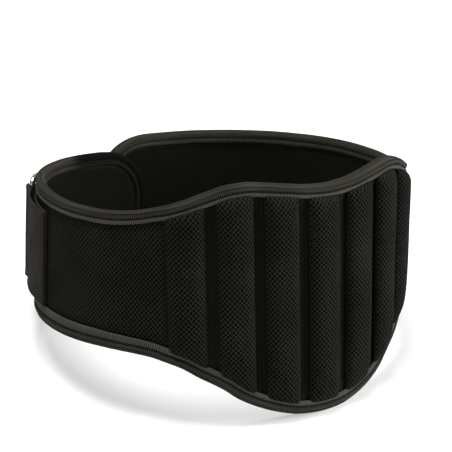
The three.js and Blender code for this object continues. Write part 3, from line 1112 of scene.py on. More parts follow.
def slab(columns: np.ndarray, low: np.ndarray, high: np.ndarray, step: float,
         face: Callable[[np.ndarray, np.ndarray], np.ndarray], back: np.ndarray,
         place: Optional[np.ndarray] = None,
         share: Optional[Callable[[np.ndarray, np.ndarray], np.ndarray]] = None) -> Cloth:
    """A closed slab whose face has a point at every step up it, cut to its lower and upper edge.

    Args:
        columns: Where the columns stand on the cloth.
        low: Height of the lower edge at each column.
        high: Height of the upper edge at each column.
        step: Rows stand at whole steps of height.
        face: How far out the face lies, from places and heights.
        back: How far out the back lies at each column.
        place: Where each column lies along the belt, if not where it stands on the cloth.
        share: How open the cloth is, from columns and heights; 1 all over if left out.

    Returns:
        The slab, whose mask is that share on the face inside its edge.
    """
    place = columns if place is None else place
    rows = np.arange(math.floor(low.min() / step), math.ceil(high.max() / step) + 1) * step
    count, size = len(columns), len(rows)
    first = np.searchsorted(rows, low, side="right") - 1
    last = np.searchsorted(rows, high, side="left")
    height = np.clip(rows[None, :], low[:, None], high[:, None])
    at = np.broadcast_to(place[:, None], height.shape)
    front = np.stack([at, height, face(at, height)], axis=-1).reshape(-1, 3)
    inner = np.zeros((count, size))
    for i in range(1, count - 1):
        inner[i, first[i] + 1:last[i]] = 1
    if share is not None:
        inner *= share(np.broadcast_to(columns[:, None], height.shape), height)
    own = np.clip(np.arange(size)[None, :], first[:, None], last[:, None]) + np.arange(count)[:, None] * size
    a, b, c, d = own[:-1, :-1], own[1:, :-1], own[1:, 1:], own[:-1, 1:]
    quads = np.stack([a, b, c, d], axis=-1).reshape(-1, 4)
    left_shut, right_shut = quads[:, 0] == quads[:, 3], quads[:, 1] == quads[:, 2]
    faces = quads[~left_shut & ~right_shut].tolist()
    faces += quads[left_shut & ~right_shut][:, :3].tolist()
    faces += quads[~left_shut & right_shut][:, [0, 1, 3]].tolist()
    base = count * size
    behind = np.vstack([np.column_stack([place, low, back]), np.column_stack([place, high, back])])
    for i in range(count - 1):
        under, over = base + i, base + count + i
        faces.append([under, over, over + 1, under + 1])
        faces.append([own[i, 0], under, under + 1, own[i + 1, 0]])
        faces.append([own[i + 1, -1], over + 1, over, own[i, -1]])
    for i in (0, count - 1):
        edge = list(range(own[i, 0], own[i, -1] + 1))
        faces.append([*edge, base + count + i, base + i])
    points = np.vstack([front, behind])
    used, flat = np.unique(np.concatenate([np.asarray(f) for f in faces]), return_inverse=True)
    ends = np.cumsum([len(f) for f in faces])[:-1]
    faces = [f.tolist() for f in np.split(flat, ends)]
    points = points[used]
    mask = np.concatenate([inner.ravel(), np.zeros(2 * count)])[used]
    run = np.concatenate([np.repeat(columns, size), columns, columns])[used]
    return Cloth(points, faces, np.column_stack([run, points[:, 1]])[flat], mask, run)


def finish_piece(piece: bpy.types.Object, cloth: bpy.types.Material, slot: Slot,
                 *nodes: str) -> bpy.types.Object:
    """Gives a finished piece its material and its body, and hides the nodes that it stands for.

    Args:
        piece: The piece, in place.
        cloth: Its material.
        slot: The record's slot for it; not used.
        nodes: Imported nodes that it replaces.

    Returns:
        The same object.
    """
    piece.data.materials.clear()
    piece.data.materials.append(cloth)
    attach(piece, "root")
    if nodes:
        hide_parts(*nodes)
    faces = sum(len(p.vertices) - 2 for p in piece.data.polygons)
    LOG.info("%s: %d triangles, stands for %s", piece.name, faces, ", ".join(nodes) or "no node")
    return piece


@dataclass
class Seams:
    """Stitch lines, sewn on the flat work and wrapped with it."""

    loop: FastenedLoop
    tree: GeometryTree
    pitch: float = 3.2
    stitch: float = 1.3
    thread: float = 0.34

    def sew(self, name: str, lines: list[np.ndarray], thread: bpy.types.Material, slot: Slot,
            tucked: bool = True) -> bpy.types.Object:
        """Sews along some lines.

        Args:
            name: The piece's name.
            lines: Runs of points (along, height, out).
            thread: The thread's material.
            slot: The record's slot for it.
            tucked: Whether the lines follow the tucked left end.

        Returns:
            The stitches, wrapped round the loop.
        """
        points = np.vstack(lines)
        edges = []
        start = 0
        for line in lines:
            edges += [(start + i, start + i + 1) for i in range(len(line) - 1)]
            start += len(line)
        mesh = bpy.data.meshes.new(name)
        mesh.from_pydata(points.tolist(), edges, [])
        piece = add_object(name, mesh)
        self.tree.grow(piece, Pitch=self.pitch, Stitch=self.stitch, Thread=self.thread, Material=thread)
        return finish_piece(self.loop.wrap(piece, tucked), thread, slot)


def sewn_box(left: float, right: float, low: float, high: float, out: Callable[[np.ndarray], np.ndarray],
             crossed: bool) -> list[np.ndarray]:
    """Lines of a box stitch, with or without its cross.

    Args:
        left: Where it starts along the belt.
        right: Where it ends.
        low: Its lower line.
        high: Its upper line.
        out: How far out the work's face lies, from places along the belt.
        crossed: Whether both diagonals are sewn too.

    Returns:
        The lines.
    """
    corners = [(left, low), (right, low), (right, high), (left, high), (left, low)]
    pairs = list(zip(corners[:-1], corners[1:]))
    if crossed:
        pairs += [(corners[0], corners[2]), (corners[1], corners[3])]
    lines = []
    for start, end in pairs:
        flat = np.linspace(start, end, 40)
        lines.append(np.column_stack([flat, out(flat[:, 0])]))
    return lines


@dataclass
class PaddedBody:
    """The padded wall: mesh cloth over foam outside, lining inside, and the ribs between seams."""

    form: BeltForm
    loop: FastenedLoop
    knit: AirMeshFinish = AirMeshFinish()
    hole_depth: float = 0.42
    knot_rise: float = 0.1
    foam: float = 4.7
    lining: float = 1.4
    rib_rise: float = 7.6
    rib_edge: float = 0.7
    rib_end: float = 11.5
    rib_foot: float = 30.0
    end_height: float = 0.1
    end_power: float = 2.2
    rib_sink: float = 0.6
    under_tape: float = 0.8
    seam_offset: float = 0.9
    seam_dip: float = 0.9
    seam_width: float = 1.5
    channel_dip: float = 1.8
    channel_side: float = 3.0
    edge_dip: float = 0.9
    edge_reach: float = 9.0
    flattened: float = 12.0
    billow: float = 0.9
    billow_starts: float = 6.0
    rib_pucker: float = 0.5
    rib_gather: float = 0.88
    rib_slack: float = 0.45
    section_points: int = 4001
    crown_power: float = 2.7
    crown_root: float = 0.68
    lining_step: float = 3.0
    lining_puff: float = 0.6
    lining_sink: float = 0.4
    sewn: float = -0.7
    seam_lean: float = 0.05
    upright_height: float = -5.0
    lean_fades: float = 50.0

    def __post_init__(self) -> None:
        """Finds the lines along which the padding is sewn down."""
        self.middles = np.array(self.form.rib_middles())
        reach = self.form.rib_width / 2 + self.seam_offset
        self.seams = np.concatenate([self.middles - reach, self.middles + reach])
        self.padded = float(self.seams.max())
        self.leg_low, self.leg_top, _ = self.form.inset_edges(self.form.binding_leg)
        self.panel_low, self.panel_top, self.panel_half = self.form.inset_edges(self.form.edge_inset)
        self.row_step = self.knit.pitch_up / 4

    def columns(self, start: float, end: float) -> np.ndarray:
        """Places columns on the knit's lattice.

        Args:
            start: Where the cloth starts.
            end: Where it ends.

        Returns:
            The columns' places between the two ends, with the ends.
        """
        step = self.knit.pitch_along / 4
        inner = np.arange(math.ceil(start / step + 0.3), math.floor(end / step - 0.3) + 1) * step
        return np.concatenate([[start], inner, [end]])

    def leaned(self, along: np.ndarray, height: np.ndarray) -> np.ndarray:
        """Where a point lies along the belt, from its place on upright ribs: their tops lean leftward."""
        near = ease((self.padded + self.lean_fades - np.abs(along)) / self.lean_fades)
        return along - self.seam_lean * (height - self.upright_height) * near

    def cut_ends(self, along: np.ndarray, low: Callable, high: Callable) -> tuple[np.ndarray, np.ndarray]:
        """Lower and upper end of cloth columns that lean with the ribs.

        Args:
            along: Where the columns stand on upright ribs.
            low: Height of the lower outline along the belt.
            high: Height of the upper outline along the belt.

        Returns:
            The two heights of each column.
        """
        foot, head = low(along), high(along)
        for _ in range(3):
            foot, head = low(self.leaned(along, foot)), high(self.leaned(along, head))
        return foot, head

    def from_tape(self, along: np.ndarray, height: np.ndarray) -> np.ndarray:
        """How far a point of the leaning cloth lies from the nearer leg of the binding."""
        at = self.leaned(along, height)
        return np.minimum(height - self.leg_low(at), self.leg_top(at) - height)

    def panel_face(self, along: np.ndarray, height: np.ndarray) -> np.ndarray:
        """Shapes the mesh cloth between the ribs and on the plain stretches.

        Args:
            along: Places along the belt, on upright ribs.
            height: Heights up it.

        Returns:
            How far out the cloth lies at each point.
        """
        form = self.form
        out = form.panel_face + form.swell(self.leaned(along, height))
        from_edge = self.from_tape(along, height)
        dip = self.seam_dip * pressed(self.from_seam(along), self.seam_width)
        between = ease((self.padded + 1 - np.abs(along)) / self.channel_side)
        dip = dip + self.channel_dip * between * ease(from_edge / self.flattened)
        dip = dip + self.edge_dip * (1 - ease(from_edge / self.edge_reach))
        cloud = ripples(along + 0.35 * height, Wave.PANEL_ALONG)
        cloud = cloud * ripples(height - 0.2 * along, Wave.PANEL_UP)
        plain = ease((np.abs(along) - self.padded - self.billow_starts) / 40)
        return out - dip + self.billow * cloud * plain * ease(from_edge / (self.flattened + 2))

    def from_seam(self, along: np.ndarray) -> np.ndarray:
        """How far a place lies from the nearest seam beside a rib."""
        return np.abs(along[..., None] - self.seams).min(axis=-1)

    def clear_of_tape(self, along: np.ndarray, height: np.ndarray) -> np.ndarray:
        """Share by which the cloth is free of the binding's leg."""
        return ease((self.from_tape(along, height) + 1) / 1.4)

    def panel_open(self, along: np.ndarray, height: np.ndarray) -> np.ndarray:
        """Says how open the mesh is on the panel: it is pressed shut in the channels and at the tape.

        Args:
            along: Places along the belt, on upright ribs.
            height: Heights up it.

        Returns:
            1 where it is open, and the value of a sewn place where it is shut.
        """
        free = ease((self.from_seam(along) - 0.3) / 1.6) * self.clear_of_tape(along, height)
        channel = ease((self.padded - np.abs(along)) / 2)
        return self.sewn + (1 - self.sewn) * free * (1 - 0.4 * channel)

    def make_panel(self, tree: GeometryTree, cloth: bpy.types.Material) -> None:
        """Makes the panel and pricks its holes, with few columns where the ribs hide it.

        Args:
            tree: The perforation tree.
            cloth: The mesh cloth.
        """
        columns = self.columns(-self.panel_half, self.panel_half)
        hidden = np.abs(columns[:, None] - self.middles).min(axis=1) < self.form.rib_width / 2 - 2
        columns = columns[~hidden | (np.arange(len(columns)) % 7 == 0)]
        back = np.full(len(columns), self.form.panel_face - self.foam)
        low, high = self.cut_ends(columns, self.panel_low, self.panel_top)
        work = slab(columns, low, high, self.row_step, self.panel_face, back, share=self.panel_open)
        self.prick(work.object("outer_panel_mesh"), tree, cloth, "outer_panel")

    def prick(self, piece: bpy.types.Object, tree: GeometryTree, cloth: bpy.types.Material,
              node: str) -> None:
        """Args:
            piece: The piece, flat.
            tree: The perforation tree.
            cloth: The mesh cloth.
            node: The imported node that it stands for.
        """
        tree.grow(piece, Pitch_Along=self.knit.pitch_along, Pitch_Up=self.knit.pitch_up,
                  Depth=self.hole_depth, Knot=self.knot_rise, Material=cloth)
        finish_piece(self.loop.wrap(piece, leaned=self.leaned), cloth, Slot.AIR_MESH, node)

    def crown(self, share: np.ndarray) -> np.ndarray:
        """Height of a rib's cross section as a share, from one seam at -1 to the other at 1."""
        return np.power(np.clip(1 - np.abs(share) ** self.crown_power, 0, 1), self.crown_root)

    def rib_cloth(self) -> tuple[np.ndarray, np.ndarray]:
        """Measures the cloth over a rib.

        Returns:
            Places across the rib, and how much cloth lies between each and the rib's middle.
        """
        share = np.sin(np.linspace(-math.pi / 2, math.pi / 2, self.section_points))
        across = share * self.form.rib_width / 2
        rise = (self.rib_rise - self.rib_edge) * self.crown(share)
        run = distance_along(np.column_stack([across, rise]))
        return across, run - run[-1] / 2

    def make_rib(self, index: int, tree: GeometryTree, cloth: bpy.types.Material) -> None:
        """Makes one padded rib, puffed up between its seams and puckered along them.

        Args:
            index: Which rib, from the buckle's side.
            tree: The perforation tree.
            cloth: The mesh cloth.
        """
        form = self.form
        middle = self.middles[index]
        across, run = self.rib_cloth()
        columns = self.columns(run[0], run[-1])
        place = middle + np.interp(columns, run, across)
        low, high = self.cut_ends(place, self.leg_low, self.leg_top)
        low, high = low - self.under_tape, high + self.under_tape
        seat = form.panel_face + form.swell(place)

        def face(along: np.ndarray, height: np.ndarray) -> np.ndarray:
            """Puffs the cloth up between the rib's seams.

            Args:
                along: Places along the belt, on upright ribs.
                height: Heights up it.

            Returns:
                How far out the cloth lies.
            """
            share = np.clip((along - middle) / (form.rib_width / 2), -1, 1)
            at = self.leaned(along, height)
            foot = (height - self.leg_low(at) + self.under_tape) / self.rib_foot
            head = (self.leg_top(at) - height + self.under_tape) / self.rib_end
            close = np.clip(np.minimum(foot, head), 0, 1)
            rounded = np.sqrt(1 - (1 - close) ** self.end_power)
            full = self.end_height + (1 - self.end_height) * rounded
            pucker = ripples(height, Wave.RIB_PUCKER, index)
            pucker = pucker * np.abs(share) ** 3 * (1 - np.abs(share) ** 8)
            gather = ripples(along, Wave.RIB_GATHER, index) * (1 - close) * close
            slack = ripples(height + 0.5 * along, Wave.RIB_SLACK, index) * self.rib_slack
            crown = self.crown(share)
            rise = self.rib_edge + (self.rib_rise - self.rib_edge + slack) * full * crown
            out = form.panel_face + form.swell(at) + rise
            return out + self.rib_pucker * pucker * full + self.rib_gather * gather * crown

        def is_open(along: np.ndarray, height: np.ndarray) -> np.ndarray:
            """Says how open the mesh is on the rib: it is pressed shut along its seams.

            Args:
                along: Places on the cloth from the rib's middle.
                height: Heights up it.

            Returns:
                1 where it is open, and the value of a sewn place where it is shut.
            """
            at = middle + np.interp(along, run, across)
            free = ease((run[-1] - np.abs(along)) / 2.2) * self.clear_of_tape(at, height)
            return self.sewn + (1 - self.sewn) * free

        work = slab(columns, low, high, self.row_step, face, seat - self.rib_sink, place, is_open)
        self.prick(work.object(f"rib_{index + 1}_mesh"), tree, cloth, f"rib_pad_{index + 1}")

    def make_lining(self, cloth: bpy.types.Material) -> None:
        """Makes the lining of the body side.

        Args:
            cloth: The lining cloth.
        """
        form = self.form
        step = self.lining_step
        steps = math.floor(self.panel_half / step) - 1  # the last column isn't left too thin
        ends = [-self.panel_half, self.panel_half]
        columns = np.unique(np.append(np.arange(-steps, steps + 1) * step, ends))

        def face(along: np.ndarray, height: np.ndarray) -> np.ndarray:
            """Puffs the lining a little.

            Args:
                along: Places along the belt.
                height: Heights up it.

            Returns:
                How far inward the body side lies.
            """
            wave = ripples(along + 0.1 * height, Wave.LINING_ALONG) * ripples(height, Wave.LINING_UP)
            puff = self.lining_puff * ease(self.from_tape(along, height) / self.flattened)
            return -form.lining_face + puff * (1 + wave) - self.lining_sink

        back = np.full(len(columns), -form.lining_face - self.lining)
        work = slab(columns, self.panel_low(columns), self.panel_top(columns), step, face, back)
        work.points[:, 2] *= -1
        piece = work.object("lining_cloth")
        finish_piece(self.loop.wrap(piece), cloth, Slot.LINING, "inner_lining")

    def seam_lines(self) -> list[np.ndarray]:
        """Draws the seams beside the ribs, from binding to binding.

        Returns:
            Their stitch lines.
        """
        lines = []
        for along in self.seams:
            low, high = self.cut_ends(np.array([along]), self.leg_low, self.leg_top)
            height = np.linspace(low[0] + 1, high[0] - 1, 80)
            place = np.full_like(height, along)
            out = self.panel_face(place, height) + 0.2
            lines.append(np.column_stack([self.leaned(place, height), height, out]))
        return lines


@dataclass
class EdgeBinding:
    """Grosgrain tape folded over the whole edge and sewn through both legs."""

    form: BeltForm
    loop: FastenedLoop
    spacing: float = 2.0
    seam_depth: float = 6.35
    wide_leg: float = 4.2
    proud: float = 1.0
    hidden_end: float = 110.0
    end_shade: float = 0.95
    outer_bend: float = 0.22
    loose_edge: float = 8.0
    widening_ends: float = 2.5
    widening_starts: float = 30.0
    widening_full: float = 260.0
    widening_stops: float = 400.0
    lobe_half: float = 170.0
    inner_light: float = 0.35
    roll_height: float = 0.0144
    tape_depth: float = 9.0
    fold_depth: float = 1.6
    thread_sink: float = 0.82
    lobe_share: float = 0.3
    # Rows of the tape's section: depth in from the edge, how far out, and the painted light there: above 0 a
    # painted highlight on the lip, the ridge and the roll, below 0 painted shade in the seam groove, the
    # valley and on the fold at the very edge.
    section: tuple = (
        (10.0, -1.35, 0.0), (10.2, -0.6, 0.8), (9.6, -0.1, 1.0), (8.4, 0.05, 1.0), (7.3, -0.12, 0.8),
        (6.75, -0.7, -0.5), (6.35, -1.05, -1.0), (5.95, -0.7, -0.6), (5.3, -0.1, 0.05), (4.2, 0.25, 0.45),
        (3.0, 0.2, 0.1), (2.4, -0.05, -0.7), (1.7, -0.4, 0.1), (0.8, -1.3, 0.45), (0.2, -2.5, 0.1),
        (0.0, -4.0, -0.35),
    )

    def make(self, tape: bpy.types.Material) -> None:
        """Sweeps the folded tape round the edge.

        Args:
            tape: The tape's material.
        """
        points, inward, run = self.form.outline(self.spacing)
        wall = self.form.wall
        inner = [(depth, -wall - out, self.inner_light * lit)
                 for depth, out, lit in reversed(self.section[:-1])]
        inside = [(self.tape_depth, 0.9 - wall, 0.0), (self.fold_depth, 1.2 - wall, 0.0),
                  (self.fold_depth, -1.2, 0.0), (self.tape_depth, -1.35, 0.0)]
        rows = np.array(list(self.section) + inner + inside)
        depth, out, lit = rows.T
        on_outside = out > -wall / 2
        wide = self.widened(points[:, 0], inward[:, 1])[:, None]
        swing = ripples(run, Wave.TAPE_SWING)[:, None] * self.outer_bend
        moved = np.where(depth > self.loose_edge, 1.0, 0.35) * swing
        leg = ease((depth - self.seam_depth) / self.widening_ends) * on_outside
        moved = moved + self.wide_leg * wide * leg - self.proud * wide * (depth < self.fold_depth)
        along = points[:, 0, None] + inward[:, 0, None] * (depth + moved)
        height = points[:, 1, None] + inward[:, 1, None] * (depth + moved)
        roll = self.roll_height * ripples(run, Wave.TAPE_ROLL)[:, None] * ((out < -wall) | (out > 0))
        swell = self.form.swell(along) * np.clip((out + wall) / wall, 0, 1)
        rings = np.stack([along, height, out + roll + swell], axis=-1)
        # Painted shade darkens the inner leg where the left end is tucked inside the loop.
        tucked = ease((-points[:, 0] - self.form.half + self.hidden_end) / 30)[:, None]
        lit = np.where(on_outside, lit, lit - self.end_shade * tucked)
        girth = distance_along(np.vstack([rows[:, :2], rows[:1, :2]]))
        edge = run[-1] + self.spacing
        work = swept(rings, np.append(run, edge), girth, True, lit)
        piece = work.object("binding_tape", 75)
        finish_piece(self.loop.wrap(piece), tape, Slot.BINDING, "edge_binding")

    def widened(self, along: np.ndarray, upward: np.ndarray) -> np.ndarray:
        """Says where the outer leg is wider: on the lower edge, most between lobe and buckle.

        Args:
            along: Places along the belt.
            upward: How far the edge faces up into the belt, from -1 to 1.

        Returns:
            The share of the full widening.
        """
        reach = ease((-along - self.widening_starts) / (self.widening_full - self.widening_starts))
        reach = reach * ease((self.widening_stops + along) / 70)
        lobe = self.lobe_share * ease((self.lobe_half - np.abs(along)) / 60)
        return np.maximum(reach, lobe) * ease(upward * 2)

    def seam_lines(self, side: Side) -> list[np.ndarray]:
        """The stitch line of one leg, all the way round.

        Args:
            side: Which leg.

        Returns:
            One closed run of points.
        """
        points, inward, _ = self.form.outline(self.spacing)
        flat = points + inward * self.seam_depth
        swell = self.form.swell(flat[:, 0])
        inner = np.full(len(flat), self.thread_sink - self.form.wall)
        out = swell - self.thread_sink if side is Side.OUTER else inner
        line = np.column_stack([flat, out])
        return [np.vstack([line, line[:1]])]


@dataclass
class Webbing:
    """The webbing pieces: the long strap, the keeper that holds the buckle, and the label."""

    form: BeltForm
    loop: FastenedLoop
    width: float = 76.0
    thick: float = 2.0
    strap_start: float = 276.0
    strap_tail: float = 146.0
    crest: float = 10.0
    label_length: float = 184.0
    label_height: float = 64.0
    label_margin: float = 2.0
    label_corner: float = 3.0
    bar_from_end: float = 145.0
    keeper_length: float = 87.0
    tunnel: float = 13.0
    slack: float = 3.2
    under_front: float = 2.0
    buckle_reach: float = 41.0
    wire: float = 2.4
    free_wire: float = 2.8
    free_lift: float = 4.2
    meets_binding: float = 463.0
    spacing: float = 2.5
    fine_spacing: float = 1.5
    seam_inset: float = 2.6
    box_inset: float = 3.0
    second_row: float = 2.2
    tail_box: float = 62.0
    label_row: float = 3.2
    thread_sink: float = 0.05
    selvedge: tuple = (
        (-1.0, 0.45), (-0.985, 0.92), (-0.955, 1.05), (-0.92, 0.98), (-0.86, 0.82), (-0.5, 0.9), (0.0, 0.94),
        (0.5, 0.9), (0.86, 0.82), (0.92, 0.98), (0.955, 1.05), (0.985, 0.92), (1.0, 0.45),
    )
    edge_wander: float = 0.006
    label_seat: float = 0.75
    label_edge: float = 0.35
    label_puff: float = 0.25
    label_thread: float = 0.95

    def __post_init__(self) -> None:
        """Works out the layers and the bars."""
        gap = self.form.clearance
        self.first = self.form.panel_face + gap + self.thick / 2
        self.second = self.first + self.thick + gap
        self.label_back = self.first + self.thick / 2 + gap
        self.over_tape = gap + self.thick / 2
        bar_out = self.first + self.thick / 2 + gap + self.wire + self.slack
        self.hidden_bar = (self.bar_from_end - self.form.half, bar_out)
        self.free_bar = (self.hidden_bar[0] - self.buckle_reach, self.free_lift)
        self.free_place = self.free_bar[0] + self.form.loop_length
        self.free_reach = self.free_wire + gap + self.thick / 2
        self.turn_start = self.free_place - self.free_reach
        self.past_end = self.form.half + 1
        self.crest_start = self.meets_binding - self.crest
        self.tail_tip = self.free_place - self.strap_tail

    def eased(self, start: float, end: float, out_start: float, out_end: float,
              spacing: Optional[float] = None) -> np.ndarray:
        """Points that ease from one layer to another.

        Args:
            start: Where the run starts along the belt.
            end: Where it ends.
            out_start: How far out it starts.
            out_end: How far out it ends.
            spacing: Longest step.

        Returns:
            Points (along, out).
        """
        count = max(2, math.ceil(abs(end - start) / (spacing or self.spacing)) + 1)
        share = np.linspace(0, 1, count)
        out = out_start + (out_end - out_start) * ease(share)
        return np.column_stack([start + (end - start) * share, out])

    def round_bar(self, bar: tuple[float, float], radius: float, sign: int) -> np.ndarray:
        """Bends webbing half round a bar.

        Args:
            bar: The bar's place along the belt and how far out it lies.
            radius: The bar's radius.
            sign: 1 to pass the bar on its far side along the belt, and -1 on its near side.

        Returns:
            Points (along, out) from the bar's inner side to its outer side.
        """
        reach = radius + self.form.clearance + self.thick / 2
        angle = np.linspace(0, math.pi, 17)
        return np.column_stack([bar[0] + sign * reach * np.sin(angle), bar[1] - reach * np.cos(angle)])

    def strip(self, name: str, path: np.ndarray, wave: Wave) -> bpy.types.Object:
        """Makes a strip of webbing with soft selvedges along a path.

        Args:
            name: The piece's name.
            path: Points (along, out) at half its thickness.
            wave: The wave that its edges follow slightly.

        Returns:
            The strip, wrapped round the loop.
        """
        half, thin = self.width / 2, self.thick / 2
        side = left_of(np.gradient(path, axis=0))
        run = distance_along(path)
        shares, full = np.array(self.selvedge).T
        ups = np.concatenate([shares, shares[::-1]])
        lifts = np.concatenate([full, -full[::-1]])
        edge = 1 + self.edge_wander * ripples(run, wave)[:, None]
        offset = side[:, None, :] * (lifts * thin)[None, :, None]
        flat = path[:, None, :] + offset
        height = self.form.middle_height + ups[None, :] * half * edge
        rings = np.stack([flat[..., 0], height, flat[..., 1]], axis=-1)
        work = swept(rings, run, np.append(ups, ups[0]) * half, False)
        return self.loop.wrap(work.object(name, 60), tucked=False)

    def keeper_path(self) -> np.ndarray:
        """Lays the keeper from its inner layer round the hidden bar to its outer layer.

        Returns:
            Points (along, out).
        """
        bar, out = self.hidden_bar
        front, seam = bar + self.keeper_length, bar + self.tunnel
        over = out + self.wire + self.form.clearance + self.thick / 2
        raised = self.second + self.slack
        return np.vstack([
            self.eased(front - self.under_front, seam, self.first, self.first),
            self.round_bar(self.hidden_bar, self.wire, -1),
            self.eased(bar, seam, over, raised, self.fine_spacing)[1:],
            self.eased(seam, front, raised, self.second)[1:],
        ])

    def tail_path(self) -> np.ndarray:
        """Lays the strap's folded-back stretch, from the free bar to its tip.

        Returns:
            Points (along, out).
        """
        layer = self.thick + self.form.clearance
        over, down = self.over_tape + layer, self.first + layer
        return np.vstack([
            self.eased(self.turn_start, self.past_end, self.free_lift + self.free_reach, over),
            self.eased(self.past_end, self.meets_binding, over, over)[1:],
            self.eased(self.meets_binding, self.crest_start, over, down, self.fine_spacing)[1:],
            self.eased(self.crest_start, self.tail_tip, down, down)[1:],
        ])

    def strap_path(self) -> np.ndarray:
        """Lays the whole strap, from its seam to its tip.

        Returns:
            Points (along, out).
        """
        start, low = self.form.half - self.strap_start, self.free_lift - self.free_reach
        crest, edge, over = self.crest_start, self.meets_binding, self.over_tape
        return np.vstack([
            self.eased(start, crest, self.first, self.first),
            self.eased(crest, edge, self.first, over, self.fine_spacing)[1:],
            self.eased(edge, self.past_end, over, over)[1:],
            self.eased(self.past_end, self.turn_start, over, low)[1:],
            self.round_bar((self.free_place, self.free_lift), self.free_wire, 1),
            self.tail_path(),
        ])

    def make(self, strap: bpy.types.Material, keeper: bpy.types.Material, label: bpy.types.Material) -> None:
        """Makes the strap, the keeper and the label.

        Args:
            strap: The strap's webbing.
            keeper: The keeper's webbing.
            label: The label's cloth.
        """
        piece = self.strip("strap_webbing", self.strap_path(), Wave.STRAP_EDGE)
        finish_piece(piece, strap, Slot.WEBBING, "waist_strap")
        piece = self.strip("keeper_webbing", self.keeper_path(), Wave.KEEPER_EDGE)
        finish_piece(piece, keeper, Slot.WEBBING, "buckle_keeper")
        self.make_label(label)

    def make_label(self, label: bpy.types.Material) -> None:
        """Makes the bare label, with rounded corners and sewn down round its edge.

        Args:
            label: The label's cloth.
        """
        start, length = self.label_place()
        rounding = self.label_corner * (1 - np.cos(np.linspace(0, math.pi / 2, 7)))
        columns = np.unique(np.concatenate([
            start + np.linspace(0, length, 75), start + rounding, start + length - rounding]))
        from_end = np.minimum(columns - start, start + length - columns)
        cut = self.label_corner - np.sqrt(
            np.maximum(0, self.label_corner**2 - np.maximum(0, self.label_corner - from_end) ** 2))
        half = self.label_height / 2
        low, high = self.form.middle_height - half + cut, self.form.middle_height + half - cut
        seat = self.label_back

        def face(along: np.ndarray, height: np.ndarray) -> np.ndarray:
            """Puffs the label between its stitches.

            Args:
                along: Places along the belt.
                height: Heights up it.

            Returns:
                How far out the label lies.
            """
            end = np.minimum(along - start, start + length - along)
            side = half - np.abs(height - self.form.middle_height)
            inner = np.minimum(end, side)
            wave = 1 + 0.6 * ripples(along + height, Wave.LABEL_PUFF)
            rise = self.label_edge * (ease(inner / 1.2) - pressed(inner - self.label_row, 0.9))
            return seat + self.label_seat + rise + self.label_puff * ease(inner / 14) * wave

        work = slab(columns, low, high, 1.6, face, np.full(len(columns), seat - 0.15))
        piece = self.loop.wrap(work.object("label_cloth"), tucked=False)
        finish_piece(piece, label, Slot.LABEL, "label_panel")

    def label_place(self) -> tuple[float, float]:
        """Where the label starts along the belt, and its length."""
        return self.form.half - self.strap_start + self.label_margin, self.label_length

    def seam_lines(self) -> list[np.ndarray]:
        """Draws the box stitches of the keeper and the strap.

        Returns:
            Their stitch lines.
        """
        reach = self.width / 2 - self.seam_inset
        low, high = self.form.middle_height - reach, self.form.middle_height + reach
        seam, front = self.hidden_bar[0] + self.tunnel, self.hidden_bar[0] + self.keeper_length
        cover = self.eased(seam, front, self.second + self.slack, self.second)
        tail = self.tail_path()[::-1]
        face = self.thick / 2 - self.thread_sink

        def on_keeper(along: np.ndarray) -> np.ndarray:
            """How far out the keeper's face lies."""
            return np.interp(along, cover[:, 0], cover[:, 1]) + face

        def on_base(along: np.ndarray) -> np.ndarray:
            """How far out the strap's sewn layer lies."""
            return np.full_like(along, self.first + face)

        def on_tail(along: np.ndarray) -> np.ndarray:
            """How far out the strap's folded-back layer lies."""
            return np.interp(along, tail[:, 0], tail[:, 1]) + face

        lines = sewn_box(seam + self.box_inset, front - self.box_inset, low, high, on_keeper, True)
        row = self.second_row
        inner_row = sewn_box(seam + self.box_inset - row, front - self.box_inset - row, low + row, high - row,
                             on_keeper, False)
        lines += inner_row[3:]
        lines += sewn_box(self.tail_tip + 3.5, self.tail_tip + self.tail_box, low, high, on_tail, True)
        start = self.form.half - self.strap_start
        lines += sewn_box(start + 1.2, self.meets_binding - 14, low - 0.4, high + 0.4, on_base, False)
        return lines

    def label_lines(self) -> list[np.ndarray]:
        """Draws the stitches round the label.

        Returns:
            Their lines.
        """
        start, length = self.label_place()
        inset = self.label_row
        half = self.label_height / 2 - inset
        seat = self.label_back + self.label_thread
        middle = self.form.middle_height

        def on_label(along: np.ndarray) -> np.ndarray:
            """How far out the label's face lies."""
            return np.full_like(along, seat)

        return sewn_box(start + inset, start + length - inset, middle - half, middle + half, on_label, False)


